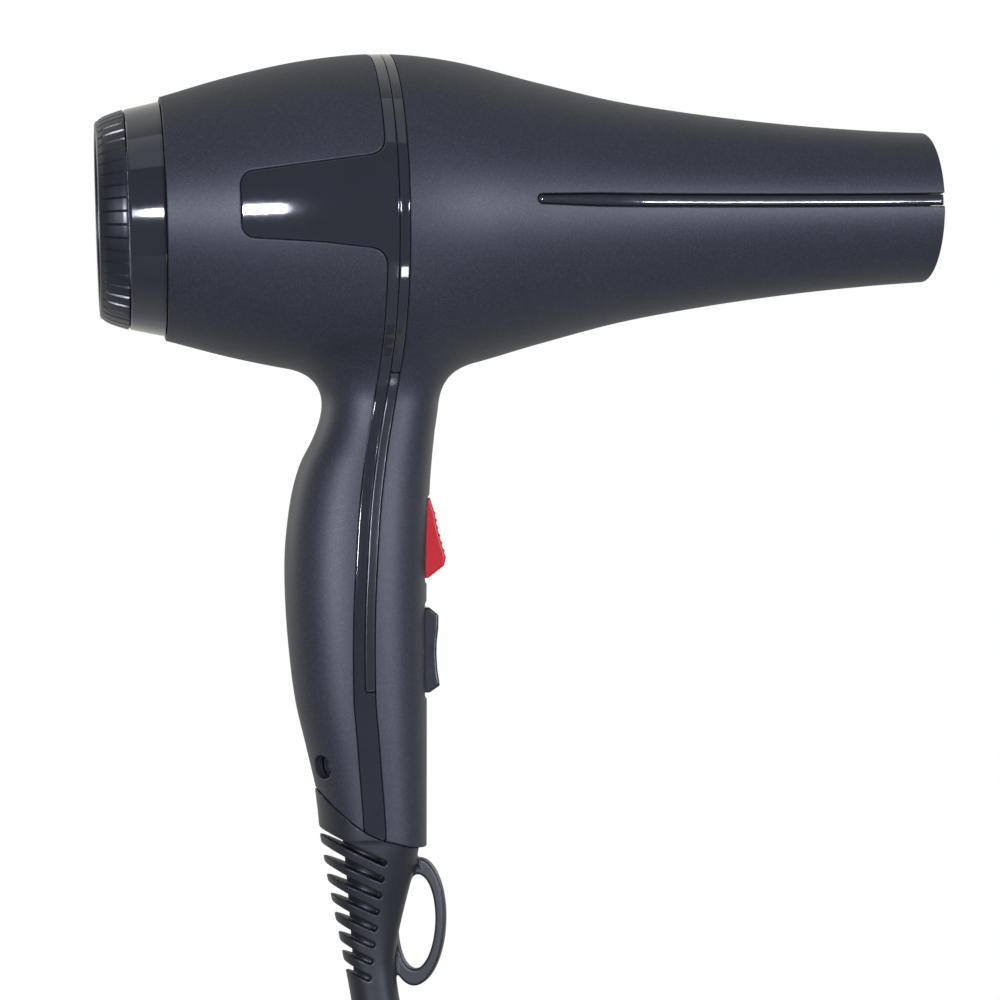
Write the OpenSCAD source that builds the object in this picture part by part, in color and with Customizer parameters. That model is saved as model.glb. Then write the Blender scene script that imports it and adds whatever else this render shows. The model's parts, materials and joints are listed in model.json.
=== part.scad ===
// Salon hair dryer. The barrel lies along X, air leaves toward +X, the handle
// hangs toward -Z. The origin is the centre of the outlet rim.

/* [Barrel] */
// Largest radius of the barrel, at the gloss band
barrel_r = 47.9; // [47:0.1:49]
// Radius of the outlet, where nozzles push on
outlet_r = 23.1; // [22.5:0.1:23.5]
// Radius of the housing at its rear edge
rear_r = 35.8; // [35:0.1:37]
// Distance from the outlet rim back to the gloss band
front_l = 168; // [164:1:172]
// Length of the rear housing behind the band
rear_l = 65.5; // [64:0.5:67]
// Wall thickness of the mouldings
wall = 2.4; // [2:0.1:2.8]
// Length of the straight collar at the outlet
collar_l = 12; // [10:1:14]

/* [Handle] */
// Half width of the grip from side to side
grip_b = 17.5; // [17:0.1:18.5]
// Width of the gloss strip down the handle
strip_w = 6.4; // [6:0.1:7]

/* [Cap] */
// Number of grip ribs round the filter cap
cap_ribs = 52; // [36:1:60]
// Radius of the cap at its rear lip
cap_r = 28.6; // [28:0.1:29.2]

/* [Motor] */
// Radius of the motor shaft
shaft_r = 2.5; // [2.5:0.1:3]
// Running clearance between shaft and bush
run_gap = 0.04; // [0.02:0.01:0.08]
// Radius of the fan over its blades
fan_r = 29; // [27:0.5:30]
// Number of fan blades
fan_blades = 9; // [7:1:11]

/* [Boot] */
// Number of slots in the strain relief
slots = 8; // [6:1:8]
// Distance between slots down the boot
slot_pitch = 4.9; // [4.6:0.1:5]

/* [Cord] */
// Diameter of the power cord
cord_d = 8; // [7.8:0.1:8.2]
// Mean radius of the stored coil
coil_r = 46; // [45:0.5:47]

/* [Hidden] */
fine = 96;
mid = 48;
gap = 0.35;

band_x = -front_l;            // middle seam of the gloss band
rear_x = band_x - rear_l;     // rear edge of the housing
band_a = band_x - 4.3;        // rear edge of the band
band_b = band_x + 2.1;        // front edge of the band
seam_x = band_x - 0.9;        // seam between the two gloss strips

// Smooth curve through [position, value] pairs, read at t
function seg(p, t, i = 0) = (i >= len(p) - 2 || t < p[i + 1][0]) ? i : seg(p, t, i + 1);
function slope(p, i) = let (a = max(i - 1, 0), b = min(i + 1, len(p) - 1))
  (p[b][1] - p[a][1]) / (p[b][0] - p[a][0]);
function curve(p, t) = let (i = seg(p, t), h = p[i + 1][0] - p[i][0], u = (t - p[i][0]) / h)
  (2*u*u*u - 3*u*u + 1) * p[i][1] + (u*u*u - 2*u*u + u) * h * slope(p, i)
  + (3*u*u - 2*u*u*u) * p[i + 1][1] + (u*u*u - u*u) * h * slope(p, i + 1);
function steps(a, b, n) = [for (i = [0:n]) a + (b - a) * i / n];

// Outer radius of the barrel along X, from shares of the driving sizes
rise = barrel_r - outlet_r;
back = barrel_r - rear_r;
barrel_pts = [
  [rear_x, rear_r], [band_x - 0.672*rear_l, rear_r + 0.493*back],
  [band_x - 0.336*rear_l, rear_r + 0.86*back], [band_x, barrel_r],
  [-0.875*front_l, outlet_r + 0.913*rise], [-0.72*front_l, outlet_r + 0.651*rise],
  [-0.577*front_l, outlet_r + 0.421*rise], [-0.423*front_l, outlet_r + 0.25*rise],
  [-0.262*front_l, outlet_r + 0.12*rise], [-collar_l, outlet_r]];
function barrel(x) = x > -collar_l ? outlet_r : curve(barrel_pts, x);

// Handle outline in side view: X of the rear and front edge at each Z
rear_edge = [[-190, -190], [-170, -193.4], [-144, -198.6], [-114, -200.6], [-88, -199],
  [-75, -196], [-66, -191.2], [-58, -189], [-51.5, -190.5], [-46, -196], [-38, -208]];
front_edge = [[-190, -161], [-146, -159.6], [-109, -158.4], [-81, -156.5], [-60, -153.6],
  [-52, -151], [-46, -143], [-38, -132]];
strip_line = [[-189, -177.6], [-165, -178.5], [-143, -179.8], [-120, -179.2], [-97, -177.4],
  [-77, -174.8], [-60, -171.8], [-46, band_x - 1.1], [0, band_x - 1.1]];
handle_z = [-190, -175, -160, -145, -130, -115, -100, -88, -78, -70, -63, -57, -52, -48,
  -43, -38];

// Closed solid through rings of points, bottom ring first
module loft(rings) {
  n = len(rings[0]);
  m = len(rings);
  polyhedron(
    points = [for (r = rings) for (p = r) p],
    faces = concat(
      [[for (i = [0:n - 1]) i]],
      [for (j = [0:m - 2]) for (i = [0:n - 1])
        [j*n + i, (j + 1)*n + i, (j + 1)*n + (i + 1) % n]],
      [for (j = [0:m - 2]) for (i = [0:n - 1])
        [j*n + i, (j + 1)*n + (i + 1) % n, j*n + (i + 1) % n]],
      [[for (i = [n - 1:-1:0]) (m - 1)*n + i]]));
}

// Solid of revolution about X from [x, r] points
module spin(pts) rotate([0, 90, 0]) rotate_extrude($fn = fine)
  polygon([for (p = pts) [p[1], p[0]]]);
// Tube about X
module tube(x, l, ro, ri) difference() {
  translate([x, 0, 0]) rotate([0, 90, 0]) cylinder(h = l, r = ro, $fn = fine);
  translate([x - 1, 0, 0]) rotate([0, 90, 0]) cylinder(h = l + 2, r = ri, $fn = fine);
}
module rod(x, l, r) translate([x, 0, 0]) rotate([0, 90, 0]) cylinder(h = l, r = r, $fn = mid);
// Pin along Y, centred on y = 0
module cross_pin(x, z, l, r) translate([x, 0, z]) rotate([90, 0, 0])
  cylinder(h = l, r = r, center = true, $fn = mid);
module box(lo, hi) translate(lo) cube(hi - lo);

barrel_x = concat(steps(rear_x, band_x, 8), steps(band_x + 10, -collar_l, 14), [0]);
module barrel_solid(inset) spin(concat([[rear_x - (inset > 0 ? 1 : 0), 0]],
  [[rear_x - (inset > 0 ? 1 : 0), barrel(rear_x) - inset]],
  [for (x = barrel_x) [x, barrel(x) - inset]],
  inset > 0 ? [[1, outlet_r - inset], [1, 0]] : [[0, 0]]));

// Side view regions, extruded across Y
module slab(pts, half = 60) rotate([90, 0, 0]) translate([0, 0, -half])
  linear_extrude(2 * half) polygon(pts);
// Handle: its side outline cut out of two oval columns, drawn in by inset
function rounded(a, b, n) = [for (i = [0:n - 1]) let (s = cos(360 * i / n), w = sin(360 * i / n))
  [a * sign(s) * pow(abs(s), 0.86), b * sign(w) * pow(abs(w), 0.86)]];
module column(x, z, l, a, b) translate([x, 0, z]) linear_extrude(l)
  polygon(rounded(a, b, 36));
module grip(inset) intersection() {
  slab(concat([for (z = handle_z) [curve(rear_edge, z) + inset, z]],
    [for (i = [len(handle_z) - 1:-1:0]) let (z = handle_z[i]) [curve(front_edge, z) - inset, z]]));
  union() {
    column(-179, -196, 158, 24 - inset, grip_b - inset);
    column(-170, -57 - inset, 20 + inset, 40 - inset, 1.1 * grip_b - inset);
  }
}
strip_z = [-195, -180, -165, -150, -135, -120, -105, -90, -77, -66, -56, -46, 60];
function line_x(z) = z > -46 ? band_x - 1.1 : curve(strip_line, max(z, -189));
module region_front(off) slab(concat([for (z = strip_z) [line_x(z) + off, z]],
  [[10, 60], [10, -195]]));
module region_rear(off) slab(concat([for (z = strip_z) [line_x(z) - off, z]],
  [[rear_x - 5, 60], [rear_x - 5, -195]]));
module region_strip(off) slab(concat([for (z = strip_z) [line_x(z) - off, z]],
  [for (i = [len(strip_z) - 1:-1:0]) [line_x(strip_z[i]) + off, strip_z[i]]]));
// Below this line the rubber boot takes over from the shells
parting = [[-210, -160], [-194.8, -168], [-186.6, -177], [-179.4, -182.6],
  [-172.2, -185.8], [-150, -188.6]];
module below(off) slab(concat([for (p = parting) [p[0], p[1] - off]],
  [[-150, -300], [-210, -300]]));

// The whole moulding before it is split
module hull_wall() difference() {
  union() {
    barrel_solid(0);
    grip(0);
  }
  barrel_solid(wall);
  grip(wall);
}

// Switch windows in the front of the handle
button_z = -97;
rocker_z = -130;
module windows() {
  box([-168, -7.2, -110], [-140, 7.2, -84]);
  box([-168, -7.2, -144.5], [-140, 7.2, -115.5]);
}
screw_y = 8;
screw_z = -162.5;
half_strip = strip_w / 2;
spine_x = -0.762 * front_l;

module spine_cut(side, grow) intersection() {
  box([spine_x - grow, side > 0 ? 0 : -60, -1.9 - grow], [1, side > 0 ? 60 : 0, 1.9 + grow]);
  difference() {
    barrel_solid(-1);
    barrel_solid(1.1);
  }
}

module front_shell() color("#3c3f47") difference() {
  union() {
    intersection() {
      hull_wall();
      region_front(half_strip);
    }
    for (s = [-1, 1]) translate([0, screw_y * s, screw_z]) rod(-182, 20.5, 3);
  }
  for (s = [-1, 1]) translate([0, screw_y * s, screw_z]) rod(-183, 12, 1.2);
  windows();
  below(-0.1);
  for (s = [-1, 1]) spine_cut(s, 0);
}

tongue_l = 0.66 * rear_l;
module tongue_region(grow) slab([
  [band_a + 1, 16 + grow], [band_a - 1.5, 13.4 + grow], [band_a - 18, 10.9 + grow],
  [band_a - tongue_l + 5, 9 + grow], [band_a - tongue_l - grow, 6 + grow],
  [band_a - tongue_l - grow, -6 - grow], [band_a - tongue_l + 5, -9.6 - grow],
  [band_a - 18, -11.7 - grow], [band_a - 1.5, -14.2 - grow], [band_a + 1, -17 - grow]]);

module rear_shell() color("#3c3f47") difference() {
  union() {
    intersection() {
      hull_wall();
      region_rear(half_strip);
    }
    for (s = [-1, 1]) translate([0, screw_y * s, screw_z]) rod(-194, 9, 3.4);
  }
  below(-0.1);
  intersection() {
    tongue_region(0);
    difference() {
      barrel_solid(-1);
      barrel_solid(1.2);
    }
  }
  // Screw recesses in the back of the handle
  for (s = [-1, 1]) translate([0, screw_y * s, screw_z]) {
    rod(-200, 9.5, 2.4);
    rod(-200, 20, 1.3);
  }
}

module trim_band() color("#16171c") {
  difference() {
    intersection() {
      hull_wall();
      region_strip(half_strip);
    }
    below(-0.1);
    // seat for the front strip
    box([seam_x, -60, -46], [band_b + 2, 60, 60]);
  }
  intersection() {
    tongue_region(0);
    box([rear_x, -60, -30], [band_a + 0.1, 60, 30]);
    difference() {
      barrel_solid(0);
      barrel_solid(1.2);
    }
  }
}

module trim_ring() color("#1a1b21") intersection() {
  difference() {
    barrel_solid(-0.2);
    barrel_solid(wall);
  }
  box([seam_x, -60, -46], [band_b, 60, 60]);
}

module side_spine_left() color("#17181d") spine_bar(-1);
module side_spine_right() color("#17181d") spine_bar(1);
module spine_bar(side) intersection() {
  box([spine_x, side > 0 ? 0 : -60, -1.9], [-0.4, side > 0 ? 60 : 0, 1.9]);
  difference() {
    barrel_solid(0.4);
    barrel_solid(1.1);
  }
}

// Rear ring pressed into the housing, carrying the intake guard
ring_l = 10.3;
cap_x = rear_x - ring_l;
module rear_ring() color("#14151a") difference() {
  union() {
    spin([[cap_x, 0], [cap_x, 32.2], [rear_x, 34.3], [rear_x, 33.3], [rear_x + 6, 33.3],
      [rear_x + 6, 0]]);
    rod(cap_x - 5, 6, 28.2);
  }
  rod(cap_x - 6, 30, 26.2);
}

module spokes(x, l, r0, r1, n, w) for (i = [0:n - 1]) rotate([360 * i / n, 0, 0])
  box([x, -w / 2, r0], [x + l, w / 2, r1]);

module intake_guard() color("#202127") union() {
  for (r = [9, 14, 19]) tube(cap_x + 2, 1.6, r + 0.7, r - 0.7);
  tube(cap_x + 2, 2.2, 26.2, 24.6);
  rod(cap_x + 2, 2.2, 5);
  spokes(cap_x + 2, 2.2, 4, 25, 6, 1.8);
}

cap_l = 8.5;
cap_back = cap_x - cap_l;
module filter_cap() color("#191a1f") difference() {
  union() {
    spin([[cap_back, 0], [cap_back, cap_r - 0.5], [cap_back + 0.6, cap_r],
      [cap_back + 2.2, cap_r + 0.6], [cap_back + 2.8, cap_r + 1.1],
      [cap_x - gap, 31.4], [cap_x - gap, 0]]);
    for (i = [0:cap_ribs - 1]) rotate([360 * i / cap_ribs, 0, 0])
      box([cap_back + 3.4, -0.8, 29], [cap_x - gap - 0.6, 0.8, 31.9]);
  }
  rod(cap_back + 1.8, 20, 28.5);
  rod(cap_back - 1, 5, 25.8);
}

module filter_mesh() color("#8f9296") union() {
  for (r = [6, 11, 16, 21]) tube(cap_back + 0.6, 0.8, r + 0.4, r - 0.4);
  tube(cap_back + 0.3, 1.2, 25.8, 24.6);
  rod(cap_back + 0.5, 1, 3);
  spokes(cap_back + 0.6, 0.8, 2.6, 25, 12, 0.8);
}

module outlet_grille() color("#26272c") union() {
  tube(-9, 5, outlet_r - wall, outlet_r - wall - 1.4);
  for (r = [7, 11, 15]) tube(-8, 1.6, r + 0.6, r - 0.6);
  rod(-8.4, 2.4, 3);
  rotate([13, 0, 0]) spokes(-8.2, 2, 2.5, 19.8, 7, 1.3);
}

// Heater: a mica tube with crossed boards and wound elements
heat_x = -104;
heat_l = 95;
module heat_shield() color("#c9bfa5") tube(heat_x, heat_l, 20.2, 19.6);
module mica_cross() color("#d8cfb4") difference() {
  union() {
    box([bracket_x + 14, -0.4, -31], [heat_x - 4, 0.4, 31]);
    box([heat_x - 5, -0.4, -19.5], [heat_x + 5, 0.4, 19.5]);
  for (i = [0:2]) rotate([60 * i, 0, 0])
    box([heat_x + 4, -0.4, -19.5], [heat_x + heat_l - 9, 0.4, 19.5]);
  }
  for (k = [0:6]) translate([heat_x + 10 + 11 * k, 0, 0]) rotate([0, 90, 0])
    rotate_extrude($fn = mid) translate([16, 0]) circle(r = 1.45, $fn = 16);
}
module heater_coils() color("#7a7d80")
  for (k = [0:6]) translate([heat_x + 10 + 11 * k, 0, 0]) rotate([0, 90, 0])
    rotate_extrude($fn = mid) translate([16, 0]) circle(r = 1.2, $fn = 16);
module thermostat() color("#e8e4d8") union() {
  translate([heat_x + 3.5, 1, 9]) box([-7, 0, -4], [0, 3, 4]);
  translate([heat_x - 6, 4, 5]) cube([5, 0.5, 8]);
}
module thermal_fuse() color("#b9bbbe") translate([heat_x - 8, 4, -9]) union() {
  rod(0, 9, 1.6);
  rod(-4, 17, 0.5);
}

// Fan duct: outer tube, straightening vanes and the motor seat
duct_a = -226;
duct_l = 76;
module fan_duct() color("#2b2d33") union() {
  tube(duct_a, duct_l, 32.4, 30.6);
  tube(duct_a + 27, 45, 23.2, 21.6);
  spokes(duct_a + 34, 34, 22.6, 31.4, 8, 1.5);
}
module duct_gasket() color("#101012") difference() {
  for (x = [duct_a + 5, duct_a + duct_l - 8]) tube(x, 5, barrel(x) - wall - 0.4, 32.4);
  // way through for the heater wires
  box([duct_a + duct_l - 10, -17, -50], [duct_a + duct_l, 17, -34]);
}

stator_x = duct_a + 36;
stator_l = 26;
module stator_core() color("#8a8d92") difference() {
  rod(stator_x, stator_l, 21.6);
  rod(stator_x - 1, stator_l + 2, 13.6);
  for (s = [-1, 1]) box([stator_x - 1, -9, min(13 * s, 19 * s)],
    [stator_x + stator_l + 1, 9, max(13 * s, 19 * s)]);
}
module field_coils() color("#a9572c") for (s = [-1, 1]) difference() {
  box([stator_x - 5, -8.6, min(14.2 * s, 18.8 * s)],
    [stator_x + stator_l + 5, 8.6, max(14.2 * s, 18.8 * s)]);
  rod(stator_x - 10, stator_l + 20, 14);
}
bracket_x = stator_x + stator_l + 8;
module end_bracket() color("#34363c") difference() {
  union() {
    tube(bracket_x, 3, 21.6, 9);
    tube(bracket_x, 11, 10, 8);
    spokes(bracket_x + 7, 3, 4.6, 9, 4, 3);
    tube(bracket_x + 6, 5, 6, 4.5);
    tube(duct_a + 28, 2.4, 21.6, 17);
    tube(duct_a + 28, 2.4, 7, 4.5);
    spokes(duct_a + 28, 2.4, 6.5, 18, 4, 4);
  }
  for (s = [-1, 1]) box([bracket_x - 1, -3, min(7 * s, 15.4 * s)],
    [bracket_x + 6.2, 3, max(7 * s, 15.4 * s)]);
}
module bush(x) color("#b0863c") tube(x, 5, 4.5, shaft_r + run_gap);
module rear_bush() bush(duct_a + 27);
module front_bush() bush(bracket_x + 6);

module brush_holders() color("#b89a4a") for (s = [-1, 1]) difference() {
  box([bracket_x + 0.2, -3, min(9.6 * s, 15.4 * s)], [bracket_x + 6.2, 3, max(9.6 * s, 15.4 * s)]);
  box([bracket_x + 1.2, -2, min(9 * s, 16 * s)], [bracket_x + 5.2, 2, max(9 * s, 16 * s)]);
}
module carbon_brushes() color("#2d2d2f") for (s = [-1, 1]) difference() {
  box([bracket_x + 1.2, -2, min(6 * s, 14 * s)], [bracket_x + 5.2, 2, max(6 * s, 14 * s)]);
  rod(bracket_x, 8, 7.4);
}
module capacitor() color("#6f86a5") translate([-184, -5, -66]) cube([9, 10, 14]);

module motor_shaft() color("#c6c8cb") rod(duct_a + 2, bracket_x + 11 - duct_a, shaft_r);
module armature() color("#85888d") difference() {
  rod(stator_x + 1, stator_l - 2, 13.1);
  rod(stator_x, stator_l, shaft_r);
  for (i = [0:11]) rotate([30 * i, 0, 0])
    box([stator_x, -1.1, 8.5], [stator_x + stator_l, 1.1, 14]);
}
module armature_winding() color("#b0602f") union() {
  for (i = [0:11]) rotate([30 * i, 0, 0])
    box([stator_x + 0.5, -1.1, 8.5], [stator_x + stator_l - 0.5, 1.1, 12.6]);
  tube(stator_x - 2.5, 3.5, 12, shaft_r);
  tube(stator_x + stator_l - 1, 3.5, 12, shaft_r);
}
module commutator() color("#c07a3e") difference() {
  tube(bracket_x - 4, 9.6, 7, shaft_r);
  for (i = [0:11]) rotate([30 * i, 0, 0]) box([bracket_x - 5, -0.3, 6], [bracket_x + 6, 0.3, 8]);
}

fan_x = duct_a + 6;
module impeller() color("#2f3138") union() {
  difference() {
    spin([[fan_x, 0], [fan_x, 7], [fan_x + 4, 11], [fan_x + 18, 12.5], [fan_x + 18, 0]]);
    rod(fan_x - 1, 30, shaft_r);
    tube(fan_x + 10, 12, 10.8, 4.8);
  }
  for (i = [0:fan_blades - 1]) rotate([360 * i / fan_blades, 0, 0])
    translate([fan_x + 10, 0, 11]) rotate([0, 0, 38])
      box([-8.5, -0.8, 0], [8.5, 0.8, fan_r - 11.6]);
}
module impeller_nut() color("#c9ab5a") difference() {
  translate([fan_x - 3, 0, 0]) rotate([0, 90, 0]) cylinder(h = 3, r = 4.4, $fn = 6);
  rod(fan_x - 4, 6, shaft_r);
}

// Cool shot button: a wedge hinged at its top edge
button_pin = [-161.5, -87.5];
module cool_button() color("#b92d31") difference() {
  union() {
    slab([[-162.6, -85.6], [-157, -85.4], [-155.6, -90], [-154.4, -98], [-152.8, -102],
      [-152.8, -104.4], [-156.6, -108.6], [-163.6, -108.6]], 6.6);
    cross_pin(button_pin[0], button_pin[1], 13.2, 2.4);
    for (k = [0:4]) translate([-155 + 0.45 * k, 0, -90.5 - 2.6 * k]) rotate([90, 0, 0])
      cylinder(h = 11, r = 0.75, center = true, $fn = 16);
  }
  cross_pin(button_pin[0], button_pin[1], 30, 1.05);
}
module cool_button_pin() color("#b9bbbe") cross_pin(button_pin[0], button_pin[1], 21, 1);
module cool_switch() color("#17181b") difference() {
  box([-180, -3.2, -109], [-170, 3.2, -89]);
  box([-173.4, -1.55, -104.6], [-169, 1.55, -101.4]);
}
module cool_plunger() color("#d8d8d4") box([-170.6, -1.2, -104.2], [-164, 1.2, -101.8]);

// Speed rocker: three positions about a cross pin
rocker_pin_x = -162;
module speed_rocker() color("#26282e") difference() {
  slab([[-163.6, -117.4], [-158.2, -117], [-155.4, -119.2], [-155.6, -123.4], [-156.3, -130],
    [-156.1, -136.6], [-155.4, -140.8], [-158.6, -143], [-163.6, -142.6], [-166.4, -130]], 6.6);
  cross_pin(rocker_pin_x, rocker_z, 30, 1.05);
}
module rocker_pin() color("#b9bbbe") cross_pin(rocker_pin_x, rocker_z, 17.6, 1);
module rocker_switch() color("#17181b") difference() {
  box([-186, -8.6, -143], [-167.6, 8.6, -117]);
  box([-169, -5, -141], [-167, 5, -119]);
}
module switch_tabs() color("#c8a452") {
  for (z = [-138, -130, -122]) for (y = [-4, 4]) box([-193, y - 0.4, z - 2], [-186, y + 0.4, z + 2]);
  for (z = [-106, -99, -92]) box([-185.5, -0.4, z - 1.4], [-180, 0.4, z + 1.4]);
}

// Tube swept along a list of points; each ring faces the local direction
function unit(v) = v / norm(v);
function along(p, i) = unit(p[min(i + 1, len(p) - 1)] - p[max(i - 1, 0)]);
function ring_at(p, i, d, n) = let (t = along(p, i),
    u = unit(cross(t, abs(t[1]) < 0.9 ? [0, 1, 0] : [1, 0, 0])), v = cross(u, t))
  [for (k = [0:n - 1]) p[i] + d / 2 * (cos(360 * k / n) * u + sin(360 * k / n) * v)];
module sweep(p, d, n = 10) loft([for (i = [0:len(p) - 1]) ring_at(p, i, d, n)]);

module supply_wires() color("#7b3a2e") for (s = [-1, 1]) sweep([
  [-178.4, 2 * s, -188], [-178.6, 2.4 * s, -176], [-183, 3 * s, -164], [-189, 4 * s, -154],
  [-191, 4.4 * s, -147], [-190.6, 4 * s, -140.6]], 2.2, 8);
module heater_wires() color("#2f4a78") for (s = [-1, 1]) sweep([
  [-190.6, 4 * s, -119.4], [-191.5, 4.6 * s, -112], [-190, 6 * s, -96], [-186, 8 * s, -80],
  [-181.5, 9.5 * s, -66], [-178.5, 10.5 * s, -54], [-175, 11 * s, -43.5],
  [-170, 11.5 * s, -40.5], [-154, 12.5 * s, -38], [-140, 11 * s, -28], [-126, 9 * s, -19],
  [-112, 7 * s, -13], [heat_x + 3, 6 * s, -11]], 2.2, 8);

module handle_screws() color("#9a9ca0") {
  for (s = [-1, 1]) difference() {
    translate([0, screw_y * s, screw_z]) union() {
      rod(-192.4, 1.9, 2.1);
      rod(-190.5, 16, 1.2);
    }
    translate([-192.6, screw_y * s - 0.35, screw_z - 1.5]) cube([1, 0.7, 3]);
  }
}

module cord_clamp() color("#2a2c31") difference() {
  box([-187, -8, -182], [-170, 8, -174]);
  translate([-178.4, 0, -190]) cylinder(h = 30, r = 4.2, $fn = mid);
  for (s = [-1, 1]) translate([-178.4 + 6.4 * s, 0, -190]) cylinder(h = 30, r = 1.2, $fn = 24);
}
module clamp_screws() color("#9a9ca0") for (s = [-1, 1]) translate([-178.4 + 6.4 * s, 0, 0]) {
  translate([0, 0, -182]) cylinder(h = 9, r = 1.2, $fn = 24);
  translate([0, 0, -174]) cylinder(h = 1.6, r = 2, $fn = 24);
}

// Strain relief: collar in the handle's foot, slotted comb, plain tail
boot_x = -177.8;
boot_pts = [[0, -184], [14.4, -184], [13.8, -190], [11.4, -198], [9.3, -207], [7.8, -218],
  [7.4, -226], [0, -226]];
tail_lean = -6.5;
cord_exit = [-174.8, 0, -256];
loop_c = [-164.5, 0.2, -211.2];
module boot_core() {
  translate([boot_x, 0, 0]) rotate_extrude($fn = mid) polygon(boot_pts);
  translate([cord_exit[0], 0, cord_exit[2]]) rotate([0, tail_lean, 0])
    cylinder(h = 34, r1 = 5.6, r2 = 7.3, $fn = mid);
}
module strain_core() translate([-178.2, 0, -232]) cylinder(h = 52, r = 6.4, $fn = mid);
function oval(a, b, n) = [for (i = [0:n - 1]) [a * cos(360 * i / n), b * sin(360 * i / n)]];
module hang_loop() translate(loop_c) rotate([0, 4.6, 0]) rotate([0, 0, -22]) rotate([90, 0, 0])
  translate([0, 0, -1.9]) linear_extrude(3.8) difference() {
    polygon(oval(8.8, 19.1, 40));
    polygon(oval(5.9, 14.1, 40));
  }
module cord_boot() color("#1d1e21") difference() {
  union() {
    intersection() {
      grip(0);
      below(0.1);
    }
    boot_core();
    hang_loop();
    box([-174, -2.6, -206], [-169, 2.6, -190]);
  }
  difference() {
    for (k = [0:slots - 1]) translate([-182.5 - 0.74 * k, 0, -188 - slot_pitch * k])
      rotate([0, 27, 0]) box([-14, -20, -1.1], [8.4, 20, 1.1]);
    strain_core();
  }
  box([-187.2, -8.2, -182.2], [-169.8, 8.2, -150]);
  translate([-178.4, 0, -190]) cylinder(h = 20, r = 4.2, $fn = mid);
}

// Power cord, coil, tie and plug
coil_y = 2 * cord_d;
coil_c = [-173.8, 0, -352];
lead_route = [cord_exit, [-174.2, -0.3, -262], [-174, -1.3, -269], [-172.5, -4.2, -280.3],
  [-168, -7.7, -291], [-161, -10.7, -300], [-150.7, -12, -307.7]];
tail_route = [[-210, -18.7, -331], [-203.5, -22.2, -322.3], [-195, -25.5, -315.6],
  [-184.7, -28.1, -311.4], [-173.8, -29.7, -310], [-166.5, -30, -310.6], [-155, -30, -315],
  [-145.2, -30, -323], [-139, -30, -334], [-136.8, -30, -348]];
plug_at = [-136.8, -30, -348];
plug_boot_l = 22;
plug_l = 30;
pin_l = 19;
module power_cord() color("#1b1c1f") {
  sweep(lead_route, cord_d);
  sweep(tail_route, cord_d);
}
module coil_ring() rotate([90, 0, 0]) rotate_extrude($fn = fine)
  translate([coil_r - cord_d, -coil_y]) square([2 * cord_d, 2 * coil_y]);
module cord_coil() color("#1b1c1f") translate(coil_c) coil_ring();
module cord_tie() color("#2b2c30") translate(coil_c) difference() {
  box([-8, -coil_y - 1.5, -coil_r - cord_d - 1.5], [8, coil_y + 1.5, -coil_r + cord_d + 1.5]);
  coil_ring();
}
module plug_boot() color("#1b1c1f") translate(plug_at - [0, 0, plug_boot_l])
  cylinder(h = plug_boot_l, r1 = 7.2, r2 = 5, $fn = mid);
module plug_body() color("#1b1c1f") translate(plug_at - [0, 0, plug_boot_l + plug_l])
  intersection() {
    cylinder(h = plug_l, r = 17.6, $fn = fine);
    translate([-17.6, -10.4, 0]) cube([35.2, 20.8, plug_l]);
  }
module plug_pins() color("#c9b27a") for (s = [-1, 1])
  translate(plug_at + [9.5 * s, 0, -plug_boot_l - plug_l - pin_l]) {
    translate([0, 0, 1]) cylinder(h = pin_l - 1, r = 2.4, $fn = mid);
    cylinder(h = 1, r1 = 1.6, r2 = 2.4, $fn = mid);
  }

front_shell();
rear_shell();
trim_band();
trim_ring();
side_spine_left();
side_spine_right();
rear_ring();
intake_guard();
outlet_grille();
heat_shield();
mica_cross();
heater_coils();
thermostat();
thermal_fuse();
fan_duct();
duct_gasket();
stator_core();
field_coils();
end_bracket();
rear_bush();
front_bush();
brush_holders();
carbon_brushes();
capacitor();
filter_cap();
filter_mesh();
motor_shaft();
armature();
armature_winding();
commutator();
impeller();
impeller_nut();
cool_button();
cool_button_pin();
cool_switch();
cool_plunger();
speed_rocker();
rocker_pin();
rocker_switch();
switch_tabs();
supply_wires();
heater_wires();
handle_screws();
cord_clamp();
clamp_screws();
cord_boot();
power_cord();
cord_coil();
cord_tie();
plug_boot();
plug_body();
plug_pins();
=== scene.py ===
import json
import math

import bpy
import numpy as np
from bpy.props import FloatProperty, FloatVectorProperty, IntProperty, PointerProperty
from mathutils import Matrix, Vector


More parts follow.
